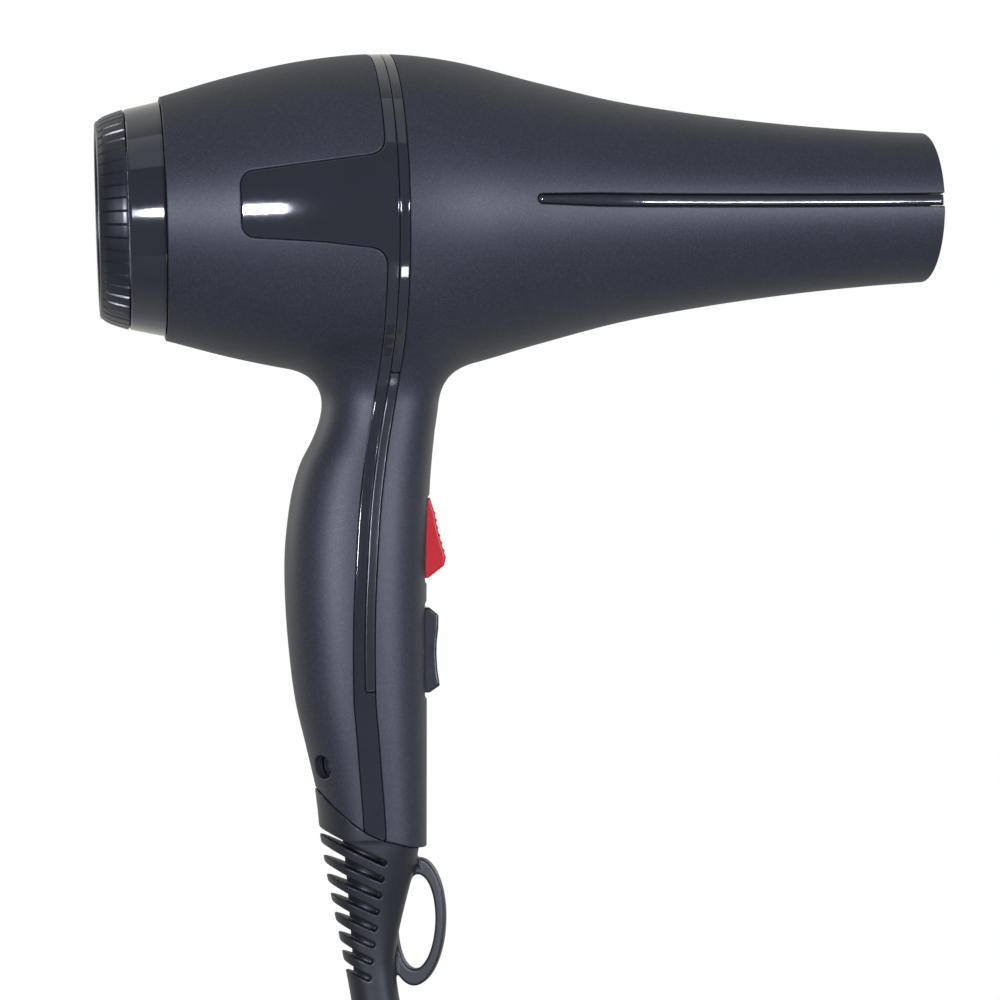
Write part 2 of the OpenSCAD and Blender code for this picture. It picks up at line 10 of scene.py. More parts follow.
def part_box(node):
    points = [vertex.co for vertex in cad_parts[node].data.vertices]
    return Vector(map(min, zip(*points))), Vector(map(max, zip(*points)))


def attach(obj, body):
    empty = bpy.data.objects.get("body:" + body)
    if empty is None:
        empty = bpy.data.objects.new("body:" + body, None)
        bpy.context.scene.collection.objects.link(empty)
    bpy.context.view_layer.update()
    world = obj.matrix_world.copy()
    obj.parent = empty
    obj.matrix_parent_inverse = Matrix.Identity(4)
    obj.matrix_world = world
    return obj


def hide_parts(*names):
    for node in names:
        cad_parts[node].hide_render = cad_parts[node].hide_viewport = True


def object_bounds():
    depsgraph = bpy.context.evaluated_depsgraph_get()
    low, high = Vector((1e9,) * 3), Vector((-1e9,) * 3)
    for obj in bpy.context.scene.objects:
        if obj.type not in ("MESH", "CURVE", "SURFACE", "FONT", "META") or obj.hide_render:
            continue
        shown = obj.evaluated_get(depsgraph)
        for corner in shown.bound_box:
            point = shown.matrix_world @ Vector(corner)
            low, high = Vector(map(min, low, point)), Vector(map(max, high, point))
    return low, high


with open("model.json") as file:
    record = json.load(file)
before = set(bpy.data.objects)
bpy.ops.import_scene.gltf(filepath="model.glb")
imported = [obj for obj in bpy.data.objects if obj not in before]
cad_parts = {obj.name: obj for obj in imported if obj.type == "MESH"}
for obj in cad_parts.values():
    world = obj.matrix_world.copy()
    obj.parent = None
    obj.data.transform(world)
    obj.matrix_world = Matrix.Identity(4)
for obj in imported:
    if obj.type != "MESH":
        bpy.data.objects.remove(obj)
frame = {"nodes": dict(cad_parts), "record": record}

bl_info = {
    "name": "Salon Hair Dryer",
    "version": (1, 0, 0),
    "blender": (4, 5, 0),
    "location": "View3D > Sidebar > Dryer",
    "description": "Builds the shells, trims, controls, cord and studio of a salon hair dryer",
    "category": "Object",
}

CAD_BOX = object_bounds()
MM = 0.001


def cad_mm(node):
    """Lowest and highest corner of a CAD node, in millimetres."""
    lo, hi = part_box(node)
    return np.array(lo) / MM, np.array(hi) / MM


# ---------------------------------------------------------------- driving places
RIM_X = cad_mm("front_shell")[1][0]
BAND_X = cad_mm("trim_ring")[0][0] + 0.9
REAR_X = cad_mm("rear_shell")[0][0]
CAP_X = cad_mm("filter_cap")[0][0]
RING_X = cad_mm("rear_ring")[0][0] + 5.0
BARREL_R = cad_mm("trim_band")[1][1]
REAR_L = BAND_X - REAR_X


# ---------------------------------------------------------------- settings
def colour(name, text, value):
    return FloatVectorProperty(name=name, description=text, subtype="COLOR", size=3, min=0, max=1,
                               default=value)


def share(name, text, value, low=0.0, high=1.0):
    return FloatProperty(name=name, description=text, subtype="FACTOR", min=low, max=high,
                         default=value)


def length(name, text, value):
    return FloatProperty(name=name, description=text, unit="LENGTH", default=value, min=0.0)


class DryerFinish(bpy.types.PropertyGroup):
    """Colours and finishes."""

    paint: colour("Paint", "Satin graphite of the shells", (0.020, 0.022, 0.029))
    fleck: share("Fleck", "Strength of the metallic fleck in the paint", 0.22)
    gloss: colour("Gloss", "Piano black of the band, tongues and spines", (0.021, 0.022, 0.027))
    cap: colour("Cap", "Moulded black of the filter cap", (0.014, 0.015, 0.020))
    red: colour("Red", "Cool shot button", (0.37, 0.009, 0.014))
    rocker: colour("Rocker", "Speed rocker", (0.013, 0.014, 0.018))
    rubber: colour("Rubber", "Boot and loop", (0.012, 0.013, 0.017))


class DryerSizes(bpy.types.PropertyGroup):
    """Sizes that the looks depend on."""

    mesh_step: length("Mesh step", "Spacing of the shell mesh", 0.0012)
    seam: length("Seam", "Width of the gap between panels", 0.00014)
    edge: length("Edge", "Radius rolled onto a panel's edge", 0.0004)
    cord_d: length("Cord", "Diameter of the mains lead", 0.008)
    ribs: IntProperty(name="Ribs", description="Grip ribs round the filter cap", default=52, min=12)
    fins: IntProperty(name="Fins", description="Slots in the strain relief", default=8, min=4)


def finishes():
    return bpy.context.scene.dryer_finish


def sizes():
    return bpy.context.scene.dryer_sizes


# ---------------------------------------------------------------- curves and fields
# A field takes millimetres and is negative inside the shape.
def curve(points, t):
    """Smooth curve through (position, value) pairs, read at t."""
    p = np.array(points, float)
    k, v = p[:, 0], p[:, 1]
    s = np.empty(len(k))
    s[1:-1] = (v[2:] - v[:-2]) / (k[2:] - k[:-2])
    s[0] = (v[1] - v[0]) / (k[1] - k[0])
    s[-1] = (v[-1] - v[-2]) / (k[-1] - k[-2])
    t = np.asarray(t, float)
    c = np.clip(t, k[0], k[-1])
    i = np.clip(np.searchsorted(k, c, side="right") - 1, 0, len(k) - 2)
    h = k[i + 1] - k[i]
    u = (c - k[i]) / h
    mid = ((2 * u**3 - 3 * u**2 + 1) * v[i] + (u**3 - 2 * u**2 + u) * h * s[i]
           + (3 * u**2 - 2 * u**3) * v[i + 1] + (u**3 - u**2) * h * s[i + 1])
    return mid + np.where(t < k[0], (t - k[0]) * s[0], 0) + np.where(t > k[-1], (t - k[-1]) * s[-1], 0)


def blend_in(a, b, k):
    """Union of two fields with a fillet of about k."""
    h = np.maximum(k - np.abs(a - b), 0) / k
    return np.minimum(a, b) - h * h * k / 4


def blend_cut(a, b, k):
    """Intersection of two fields with a rounded edge of about k."""
    return -blend_in(-a, -b, k)


FRONT_L = RIM_X - BAND_X
OUT_R = 22.9
RISE = BARREL_R - OUT_R
BACK = BARREL_R - 35.7
BARREL = [
    (REAR_X, BARREL_R - BACK), (BAND_X - 0.672 * REAR_L, BARREL_R - 0.507 * BACK),
    (BAND_X - 0.336 * REAR_L, BARREL_R - 0.14 * BACK), (BAND_X, BARREL_R),
    (-0.875 * FRONT_L, OUT_R + 0.913 * RISE), (-0.72 * FRONT_L, OUT_R + 0.651 * RISE),
    (-0.577 * FRONT_L, OUT_R + 0.423 * RISE), (-0.423 * FRONT_L, OUT_R + 0.255 * RISE),
    (-0.262 * FRONT_L, OUT_R + 0.125 * RISE), (-0.11 * FRONT_L, OUT_R + 0.04 * RISE),
    (RIM_X, OUT_R)]
REAR_EDGE = [(-190, -190.2), (-170, -193.4), (-157, -196.0), (-144, -198.6), (-130, -200.0),
             (-114, -200.7), (-100, -200.4), (-88, -198.9), (-80, -197.2), (-73, -194.8),
             (-66, -191.0), (-60, -188.6), (-54, -187.6), (-46, -187.2)]
FRONT_EDGE = [(-190, -161.1), (-146, -159.6), (-109, -158.4), (-81, -156.5), (-66, -154.7),
              (-57, -153.2), (-46, -152.4)]
HALF_WIDE = [(-190, 14.4), (-170, 15.6), (-150, 16.8), (-125, 17.6), (-100, 17.6), (-75, 16.8),
             (-60, 16.4), (-46, 17.2)]
STRIP = [(-189, -177.9), (-179, -178.0), (-165, -178.7), (-155, -179.2), (-143, -179.8),
         (-120, -179.2), (-97, -177.4), (-85, -176.1), (-77, -174.9), (-66, -173.0), (-54, -170.6),
         (-44, BAND_X - 1.2), (-30, BAND_X - 1.1)]
PARTING = [(-200, -160.5), (-194.8, -168.2), (-192.6, -170.9), (-189.4, -174.6), (-186.6, -177.4),
           (-183.2, -180.5), (-179.4, -183.0), (-175.1, -185.1), (-172.2, -185.9),
           (-166.3, -187.6), (-160, -188.6), (-150, -189.6)]
GRIP_TOP, GRIP_CUT = -46, -22
GRIP_POWER = 2.3
SADDLE_FILLET = 11.0


def barrel_r(x):
    return curve(BARREL, x)


def barrel_field(x, y, z):
    r = barrel_r(x)
    lean = barrel_r(x + 0.5) - barrel_r(x - 0.5)
    return (np.sqrt(y * y + z * z) - r) / np.sqrt(1 + lean * lean)


def oval_field(u, v, a, b, power):
    """About the distance from an oval of half widths a and b. Power 2 makes it an ellipse."""
    rho = np.maximum(((np.abs(u) / a) ** power + (np.abs(v) / b) ** power) ** (1 / power), 1e-3)
    return np.sqrt(u * u + v * v) * (1 - 1 / rho)


def grip_field(x, y, z):
    """The handle, cut off inside the barrel."""
    zz = np.minimum(z, GRIP_TOP)
    rear, front, half_y = curve(REAR_EDGE, zz), curve(FRONT_EDGE, zz), curve(HALF_WIDE, zz)
    side = oval_field(x - (rear + front) / 2, y, (front - rear) / 2, half_y, GRIP_POWER)
    return np.maximum(side, z - GRIP_CUT)


def body_field(x, y, z):
    """Barrel and handle in one skin, which every panel is cut from."""
    return blend_in(barrel_field(x, y, z), grip_field(x, y, z), SADDLE_FILLET)


def poly_inside(px, pz, pts):
    """Signed distance to a closed outline: positive inside."""
    pts = np.array(pts, float)
    px, pz = np.broadcast_arrays(px, pz)
    best = np.full(px.shape, 1e9)
    wind = np.zeros(px.shape, bool)
    for a, b in zip(pts, np.roll(pts, -1, axis=0)):
        e = b - a
        t = np.clip(((px - a[0]) * e[0] + (pz - a[1]) * e[1]) / (e @ e), 0, 1)
        best = np.minimum(best, np.hypot(px - a[0] - t * e[0], pz - a[1] - t * e[1]))
        if a[1] != b[1]:
            hit = (pz < a[1]) != (pz < b[1])
            wind ^= hit & (px < a[0] + (pz - a[1]) * e[0] / e[1])
    return np.where(wind, best, -best)


def box_inside(u, v, half_u, half_v, r):
    """Signed distance to a round-cornered rectangle: positive inside."""
    a, b = np.abs(u) - half_u + r, np.abs(v) - half_v + r
    return r - np.hypot(np.maximum(a, 0), np.maximum(b, 0)) - np.minimum(np.maximum(a, b), 0)


# ---------------------------------------------------------------- meshes from fields
def unit(v, least=1e-9):
    return v / np.maximum(np.linalg.norm(v, axis=1), least)[:, None]


def add_object(name, data):
    obj = bpy.data.objects.new(name, data)
    bpy.context.scene.collection.objects.link(obj)
    return obj


class Skin:
    """Triangles on the zero surface of a field, with the field's own normals."""

    def __init__(self, field, lo, hi, step):
        self.field = field
        axes = [np.arange(a, b + step, step) for a, b in zip(lo, hi)]
        f = field(axes[0][:, None, None], axes[1][None, :, None], axes[2][None, None, :])
        f = np.broadcast_to(f, [len(a) for a in axes])
        inside = f < 0
        corners = [(i, j, k) for i in (0, 1) for j in (0, 1) for k in (0, 1)]
        n = [s - 1 for s in f.shape]

        def part(arr, c):
            return arr[c[0]:c[0] + n[0], c[1]:c[1] + n[1], c[2]:c[2] + n[2]]

        count = sum(part(inside, c).astype(np.int8) for c in corners)
        cells = np.argwhere((count > 0) & (count < 8))
        ids = np.full(n, -1, np.int64)
        ids[tuple(cells.T)] = np.arange(len(cells))
        total, hits = np.zeros((len(cells), 3)), np.zeros(len(cells))
        for a in corners:
            for ax in range(3):
                if a[ax]:
                    continue
                b = list(a)
                b[ax] = 1
                fa = f[tuple((cells + a).T)]
                fb = f[tuple((cells + b).T)]
                crossing = (fa < 0) != (fb < 0)
                t = np.where(crossing, fa / np.where(fa == fb, 1, fa - fb), 0)
                p = cells + np.array(a, float)
                p[:, ax] += t
                total += p * crossing[:, None]
                hits += crossing
        self.co = np.array([a[0] for a in axes]) + step * total / hits[:, None]
        quads = []
        for ax in range(3):
            o1, o2 = [(1, 2), (2, 0), (0, 1)][ax]
            lo_side = [slice(1, -1)] * 3
            lo_side[ax] = slice(0, -1)
            hi_side = list(lo_side)
            hi_side[ax] = slice(1, None)
            a, b = inside[tuple(lo_side)], inside[tuple(hi_side)]
            for flip, mask in ((False, a & ~b), (True, ~a & b)):
                at = np.argwhere(mask) + 1
                at[:, ax] -= 1
                ring = []
                for d1, d2 in ((1, 1), (0, 1), (0, 0), (1, 0)):
                    q = at.copy()
                    q[:, o1] -= d1
                    q[:, o2] -= d2
                    ring.append(ids[tuple(q.T)])
                quad = np.stack(ring, 1)
                quads.append(quad[:, ::-1] if flip else quad)
        quads = np.concatenate(quads)
        self.tri = np.concatenate([quads[:, [0, 1, 2]], quads[:, [0, 2, 3]]])
        for _ in range(3):
            self.settle()
            self.relax()
        self.settle()
        self.settle()

    def slope(self, co):
        """The field's gradient, from a small step each way."""
        e = 0.02
        return np.stack([(self.field(*(co + d).T) - self.field(*(co - d).T)) / (2 * e)
                         for d in np.eye(3) * e], 1)

    def edges(self):
        return np.concatenate([self.tri[:, [0, 1]], self.tri[:, [1, 2]], self.tri[:, [2, 0]]])

    def settle(self):
        """Moves every point onto the surface."""
        g = self.slope(self.co)
        f = self.field(*self.co.T)
        self.co = self.co - g * (f / np.maximum((g * g).sum(1), 1e-6))[:, None]

    def relax(self):
        """Evens out the spacing of the points."""
        e = self.edges()
        total, n = np.zeros_like(self.co), np.zeros(len(self.co))
        np.add.at(total, e[:, 0], self.co[e[:, 1]])
        np.add.at(n, e[:, 0], 1)
        self.co = self.co + 0.5 * (total / np.maximum(n, 1)[:, None] - self.co)

    def copy(self):
        other = object.__new__(Skin)
        other.field, other.co, other.tri = self.field, self.co.copy(), self.tri.copy()
        return other

    def cut(self, side, keep=False):
        """Clips where side(co) < 0; with keep, both sides stay and a line of edges is put in."""
        v = side(self.co)
        v = np.where(np.abs(v) < 0.02, 0.0, v)
        s = np.sign(v)
        tv = s[self.tri]
        mixed = (tv.min(1) < 0) & (tv.max(1) > 0)
        whole = self.tri[~mixed]
        if not keep:
            whole = whole[(s[whole] >= 0).all(1) & (s[whole] > 0).any(1)]
        made, new, out = {}, [], []
        for tri in self.tri[mixed]:
            for sign in ((1, -1) if keep else (1,)):
                ring = []
                for a, b in zip(tri, np.roll(tri, -1)):
                    if s[a] * sign >= 0:
                        ring.append(a)
                    if s[a] * s[b] < 0:
                        key = (min(a, b), max(a, b))
                        if key not in made:
                            t = v[a] / (v[a] - v[b])
                            made[key] = len(self.co) + len(new)
                            new.append(self.co[a] + t * (self.co[b] - self.co[a]))
                        ring.append(made[key])
                out += [(ring[0], ring[i], ring[i + 1]) for i in range(1, len(ring) - 1)]
        if new:
            self.co = np.concatenate([self.co, np.array(new)])
        self.tri = np.concatenate([whole, np.array(out, np.int64).reshape(-1, 3)])
        return self.tidy()

    def tidy(self):
        """Drops the points that no triangle uses."""
        used, back = np.unique(self.tri, return_inverse=True)
        self.co, self.tri = self.co[used], back.reshape(-1, 3)
        return self

    def panel(self, side, wall, edge, level=0.0):
        """A closed panel: the surface where side > 0, its edge rolled over, wall thick."""
        self.cut(side)
        lines = [edge * k for k in (0.08, 0.3, 0.62, 1.0)]
        for d in lines:
            self.cut(lambda co, d=d: side(co) - d, keep=True)
        nor = unit(self.slope(self.co))
        e = 0.05
        out = -np.stack([(side(self.co + d) - side(self.co - d)) for d in np.eye(3) * e], 1)
        out = unit(out - nor * (out * nor).sum(1)[:, None])
        d = np.clip(side(self.co), 0, edge)
        sin = 1 - d / edge
        cos = np.sqrt(np.maximum(1 - sin * sin, 0))
        drop = edge * (1 - cos) + level
        top = self.co - nor * drop[:, None]
        top_n = nor * np.maximum(cos, 0.02)[:, None] + out * sin[:, None]
        low = self.co - nor * (wall + level)
        self.close(top, top_n, low, -nor)
        return self

    def close(self, top, top_n, low, low_n):
        """Joins the outer and inner surface with walls along the open rim."""
        n = len(top)
        e = self.edges()
        key = e[:, 0] * n + e[:, 1]
        rim = e[~np.isin(key, e[:, 1] * n + e[:, 0])]
        walls = np.concatenate([np.stack([rim[:, 1], rim[:, 0], rim[:, 0] + n], 1),
                                np.stack([rim[:, 1], rim[:, 0] + n, rim[:, 1] + n], 1)])
        self.co = np.concatenate([top, low])
        self.nor = np.concatenate([top_n, low_n])
        self.tri = np.concatenate([self.tri, self.tri[:, ::-1] + n, walls])
        self.wall_faces = np.arange(len(self.tri)) >= len(self.tri) - len(walls)

    def solid(self):
        """Keeps the closed surface as it is."""
        self.nor = unit(self.slope(self.co))
        self.wall_faces = np.zeros(len(self.tri), bool)
        return self

    def piece(self, name):
        """Object with smooth skins and flat walls."""
        mesh = bpy.data.meshes.new(name)
        mesh.from_pydata((self.co * MM).tolist(), [], self.tri.tolist())
        mesh.polygons.foreach_set("use_smooth", np.ones(len(self.tri), bool))
        loops = np.zeros(len(mesh.loops), np.int64)
        mesh.loops.foreach_get("vertex_index", loops)
        per_loop = unit(self.nor)[loops]
        flat = np.repeat(self.wall_faces, 3)
        a, b, c = (self.co[self.tri[:, i]] for i in range(3))
        face_n = unit(np.cross(b - a, c - a), 1e-12)
        per_loop[flat] = np.repeat(face_n, 3, axis=0)[flat]
        mesh.normals_split_custom_set(per_loop.tolist())
        return add_object(name, mesh)


def mesh_piece(name, verts, faces, smooth=True):
    """Object from points in millimetres."""
    mesh = bpy.data.meshes.new(name)
    mesh.from_pydata([tuple(MM * c for c in v) for v in verts], [], faces)
    mesh.validate()
    obj = add_object(name, mesh)
    if smooth:
        mesh.polygons.foreach_set("use_smooth", np.ones(len(mesh.polygons), bool))
        mod = obj.modifiers.new("Edges", "EDGE_SPLIT")
        mod.split_angle = math.radians(40)
    return obj


def turned(outline, n, axis="X", at=(0, 0, 0)):
    """Points of an outline of (along, radius) pairs turned n times about an axis through at."""
    verts = []
    for i in range(n):
        t = 2 * math.pi * i / n
        for s, r in outline:
            c, w = r * math.cos(t), r * math.sin(t)
            p = (s, c, w) if axis == "X" else (c, w, s)
            verts.append([p[k] + at[k] for k in range(3)])
    return verts


def hoop_faces(n, m, base=0):
    """Quads between n closed outlines of m points each, the last joined to the first."""
    faces = []
    for i in range(n):
        here, there = base + i * m, base + (i + 1) % n * m
        for k in range(m):
            q = (k + 1) % m
            faces.append((here + k, there + k, there + q, here + q))
    return faces


def lathe(name, outline, n=128, axis="X"):
    """Closed solid of revolution of an outline of (along, radius) points, about an axis."""
    return mesh_piece(name, turned(outline, n, axis), hoop_faces(n, len(outline)))


def put(obj, body, material, slot, *nodes):
    """Gives a piece its material and body, and hides the CAD nodes that it stands for. The slot is not used.
    """
    obj.data.materials.clear()
    obj.data.materials.append(material)
    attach(obj, body)
    if nodes:
        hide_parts(*nodes)
    return obj


# ---------------------------------------------------------------- materials
def map_range(tree, source, low, high, start, stop):
    """Runs from low to high while source runs from start to stop."""
    node = tree.nodes.new("ShaderNodeMapRange")
    node.inputs["From Min"].default_value = start
    node.inputs["From Max"].default_value = stop
    node.inputs["To Min"].default_value = low
    node.inputs["To Max"].default_value = high
    tree.links.new(source, node.inputs["Value"])
    return node.outputs[0]


class Maker:
    """Small helper that strings shader nodes together."""

    def __init__(self, name):
        self.mat = bpy.data.materials.get(name) or bpy.data.materials.new(name)
        self.mat.use_nodes = True
        self.tree = self.mat.node_tree
        self.tree.nodes.clear()
        self.out = self.tree.nodes.new("ShaderNodeOutputMaterial")
        self.bsdf = self.tree.nodes.new("ShaderNodeBsdfPrincipled")
        self.tree.links.new(self.bsdf.outputs[0], self.out.inputs[0])
        self.place = self.tree.nodes.new("ShaderNodeTexCoord").outputs["Object"]

    def set(self, **values):
        for key, value in values.items():
            socket = self.bsdf.inputs[key.replace("_", " ")]
            socket.default_value = (*value, 1) if hasattr(value, "__len__") else value

    def link(self, source, socket):
        self.tree.links.new(source, self.bsdf.inputs[socket])

    def noise(self, size, detail=3.0, rough=0.5, stretch=(1, 1, 1)):
        """Noise with features of about size metres."""
        mapping = self.tree.nodes.new("ShaderNodeMapping")
        mapping.inputs["Scale"].default_value = stretch
        self.tree.links.new(self.place, mapping.inputs["Vector"])
        node = self.tree.nodes.new("ShaderNodeTexNoise")
        node.inputs["Scale"].default_value = 1 / size
        node.inputs["Detail"].default_value = detail
        node.inputs["Roughness"].default_value = rough
        self.tree.links.new(mapping.outputs[0], node.inputs["Vector"])
        return node.outputs["Fac"]

    def cells(self, size):
        node = self.tree.nodes.new("ShaderNodeTexVoronoi")
        node.inputs["Scale"].default_value = 1 / size
        self.tree.links.new(self.place, node.inputs["Vector"])
        return node.outputs["Color"]

    def waves(self, size, direction="X", twist=0.0):
        node = self.tree.nodes.new("ShaderNodeTexWave")
        node.bands_direction = direction
        node.inputs["Scale"].default_value = 0.314 / size
        node.inputs["Distortion"].default_value = twist
        self.tree.links.new(self.place, node.inputs["Vector"])
        return node.outputs["Fac"]

    def ramp(self, source, stops):
        node = self.tree.nodes.new("ShaderNodeValToRGB")
        ramp = node.color_ramp
        while len(ramp.elements) < len(stops):
            ramp.elements.new(0.5)
        for element, (at, col) in zip(ramp.elements, stops):
            element.position = at
            element.color = (*col, 1) if hasattr(col, "__len__") else (col, col, col, 1)
        self.tree.links.new(source, node.inputs[0])
        return node.outputs[0]

    def mix(self, a, b, factor):
        node = self.tree.nodes.new("ShaderNodeMix")
        node.data_type = "RGBA"
        for socket, value in ((node.inputs[6], a), (node.inputs[7], b), (node.inputs[0], factor)):
            if isinstance(value, bpy.types.NodeSocket):
                self.tree.links.new(value, socket)
            else:
                socket.default_value = (*value, 1) if hasattr(value, "__len__") else value
        return node.outputs[2]

    def span(self, source, low, high, start=0.0, stop=1.0):
        return map_range(self.tree, source, low, high, start, stop)

    def uneven(self, size, detail, low, high):
        """Roughness that drifts between two values."""
        self.link(self.span(self.noise(size, detail), low, high), "Roughness")

    def bump(self, height, depth, strength):
        """Bump of a depth in metres, over any bump there already."""
        node = self.tree.nodes.new("ShaderNodeBump")
        node.inputs["Strength"].default_value = strength
        node.inputs["Distance"].default_value = depth
        self.tree.links.new(height, node.inputs["Height"])
        previous = self.bsdf.inputs["Normal"].links
        if previous:
            self.tree.links.new(previous[0].from_socket, node.inputs["Normal"])
        self.tree.links.new(node.outputs[0], self.bsdf.inputs["Normal"])

    def tint(self, source, base, variation):
        """Base colour, darker and lighter with the source."""
        low = [c * (1 - variation) for c in base]
        high = [min(c * (1 + variation), 1) for c in base]
        return self.ramp(source, [(0.3, low), (0.7, high)])

    def shade(self, base, variation, size):
        """Base colour with soft cloudy variation."""
        out = self.tint(self.noise(size, 4), base, variation)
        self.link(out, "Base Color")
        return out


def satin_paint():
    """Graphite metallic paint: dark base, fine bright flecks, satin top."""
    m = Maker("satin_graphite")
    base = tuple(finishes().paint)
    fleck = finishes().fleck
    cloudy = m.tint(m.noise(0.03, 3), base, 0.07)
    sparkle = m.ramp(m.cells(0.0003), [(0.5, 0.0), (1.0, 1.0)])
    bright = m.mix(cloudy, [c * (1 + 4 * fleck) for c in base], sparkle)
    m.link(bright, "Base Color")
    m.set(Metallic=0.2, Specular_IOR_Level=0.5)
    m.uneven(0.0006, 2, 0.44, 0.54)
    m.bump(m.noise(0.0004, 2, 0.6), 0.00003, 0.4)
    return m.mat


def plastic(name, base, rough, grain=0.0004, depth=0.00002, coat=0.0, variation=0.08, spread=0.05,
            shine=0.5):
    """Moulded plastic or rubber with a fine grain and slight changes of shade and gloss."""
    m = Maker(name)
    m.shade(base, variation, 0.018)
    m.set(Coat_Weight=coat, Coat_Roughness=0.04, Specular_IOR_Level=shine)
    m.uneven(0.004, 4, max(rough - spread, 0.02), rough + spread)
    m.bump(m.noise(grain, 3, 0.6), depth, 0.5)
    return m.mat


def gloss_black():
    """Polished black with a thin clear coat."""
    m = Maker("piano_black")
    m.shade(tuple(finishes().gloss), 0.1, 0.03)
    m.set(Specular_IOR_Level=0.62, Coat_Weight=0.5, Coat_Roughness=0.02)
    m.uneven(0.002, 5, 0.05, 0.10)
    m.bump(m.noise(0.004, 2, 0.5), 0.00002, 0.12)
    return m.mat


def satin_black():
    """The same black, less polished, of the inlay down the handle."""
    m = Maker("satin_black")
    m.shade(tuple(finishes().gloss), 0.1, 0.03)
    m.set(Specular_IOR_Level=0.6)
    m.uneven(0.002, 5, 0.16, 0.24)
    m.bump(m.noise(0.0005, 3), 0.00001, 0.3)
    return m.mat


def metal(name, base, rough, grain=(1, 1, 1), size=0.0006, variation=0.12, metallic=1.0):
    """Metal with drawn or turned grain along the axes where grain is small."""
    m = Maker(name)
    marks = m.noise(size, 4, 0.6, grain)
    m.link(m.tint(marks, base, variation), "Base Color")
    m.set(Metallic=metallic)
    m.link(m.span(marks, max(rough - 0.08, 0.03), rough + 0.1), "Roughness")
    m.bump(marks, 0.00002, 0.35)
    return m.mat


def mica_sheet():
    m = Maker("mica_sheet")
    flakes = m.mix(m.cells(0.0016), m.noise(0.004, 5), 0.5)
    stops = [(0.2, (0.42, 0.34, 0.22)), (0.55, (0.62, 0.54, 0.38)), (0.9, (0.78, 0.72, 0.56))]
    m.link(m.ramp(flakes, stops), "Base Color")
    m.set(Roughness=0.35, Coat_Weight=0.3, Coat_Roughness=0.2)
    m.bump(flakes, 0.00004, 0.4)
    return m.mat


def wound_copper():
    m = Maker("wound_copper")
    turns = m.waves(0.0007, "X", 0.6)
    stops = [(0.1, (0.22, 0.07, 0.02)), (0.6, (0.68, 0.28, 0.12)), (1.0, (0.85, 0.45, 0.24))]
    m.link(m.ramp(turns, stops), "Base Color")
    m.set(Metallic=0.85, Coat_Weight=0.5, Coat_Roughness=0.15)
    m.uneven(0.001, 3, 0.22, 0.36)
    m.bump(turns, 0.0002, 0.8)
    return m.mat


def lamination():
    m = Maker("lamination")
    plates = m.waves(0.0005, "X")
    m.link(m.ramp(plates, [(0.15, (0.10, 0.10, 0.11)), (0.6, (0.36, 0.37, 0.39))]), "Base Color")
    m.set(Metallic=1.0)
    m.uneven(0.002, 4, 0.3, 0.5)
    m.bump(plates, 0.0001, 0.7)
    return m.mat


def webbing():
    m = Maker("hook_webbing")
    weave = m.mix(m.waves(0.0009, "X"), m.waves(0.0009, "Y"), 0.5)
    m.link(m.ramp(weave, [(0.2, (0.008, 0.008, 0.01)), (0.8, (0.04, 0.04, 0.045))]), "Base Color")
    m.set(Roughness=0.9, Sheen_Weight=0.4, Sheen_Roughness=0.5)
    m.bump(weave, 0.0003, 0.8)
    m.bump(m.noise(0.0005, 3), 0.0002, 0.5)
    return m.mat


def pale_floor():
    """Matt pale paper. In reflections only, its colour is a painted reflection: dim in front of the dryer
    and paler behind.
    """
    m = Maker("pale_floor")
    m.set(Roughness=0.8, Specular_IOR_Level=0.2)
    m.bump(m.noise(0.002, 3), 0.0002, 0.4)
    paper = m.shade((0.78, 0.78, 0.77), 0.03, 0.05)
    place = m.tree.nodes.new("ShaderNodeSeparateXYZ")
    m.tree.links.new(m.place, place.inputs[0])
    # painted reflection: the colour that gloss rays see runs from dim in front of the dryer to pale behind
    # it
    fade = m.span(place.outputs["Y"], 0.10, 0.65, -0.15, 0.35)
    path = m.tree.nodes.new("ShaderNodeLightPath")
    m.link(m.mix(paper, fade, path.outputs["Is Glossy Ray"]), "Base Color")
    return m.mat


def lead_rubber():
    return plastic("cord_sheath", (0.016, 0.017, 0.02), 0.42, grain=0.0006)


def inner_materials():
    """Materials of the CAD nodes that stay, by record slot."""
    return {
        "inner_plastic": plastic("duct_plastic", (0.03, 0.031, 0.036), 0.5),
        "grille_metal": metal("enamelled_wire", (0.06, 0.06, 0.065), 0.35, metallic=0.7),
        "mica": mica_sheet(),
        "heater_wire": metal("heater_wire", (0.30, 0.27, 0.25), 0.4, size=0.0004, variation=0.3),
        "ceramic_part": plastic("ceramic", (0.78, 0.74, 0.65), 0.3, coat=0.4),
        "steel": metal("ground_steel", (0.55, 0.56, 0.57), 0.25, (0.1, 1, 1)),
        "screw_steel": metal("zinc_screw", (0.45, 0.46, 0.47), 0.35),
        "laminations": lamination(),
        "copper": wound_copper(),
        "bronze": metal("sintered_bronze", (0.50, 0.33, 0.14), 0.45, size=0.0003, variation=0.25),
        "brass": metal("bright_brass", (0.72, 0.56, 0.26), 0.28),
        "carbon": plastic("pressed_carbon", (0.03, 0.03, 0.032), 0.6, variation=0.3),
        "capacitor_case": plastic("dipped_resin", (0.10, 0.20, 0.38), 0.25, coat=0.5),
        "foam": plastic("cell_foam", (0.02, 0.02, 0.022), 0.95, grain=0.0008, depth=0.0003, variation=0.4),
        "wire_brown": plastic("brown_wire", (0.16, 0.06, 0.04), 0.4),
        "wire_blue": plastic("blue_wire", (0.05, 0.12, 0.30), 0.4),
        "switch_plastic": plastic("switch_black", tuple(finishes().rocker), 0.36),
    }


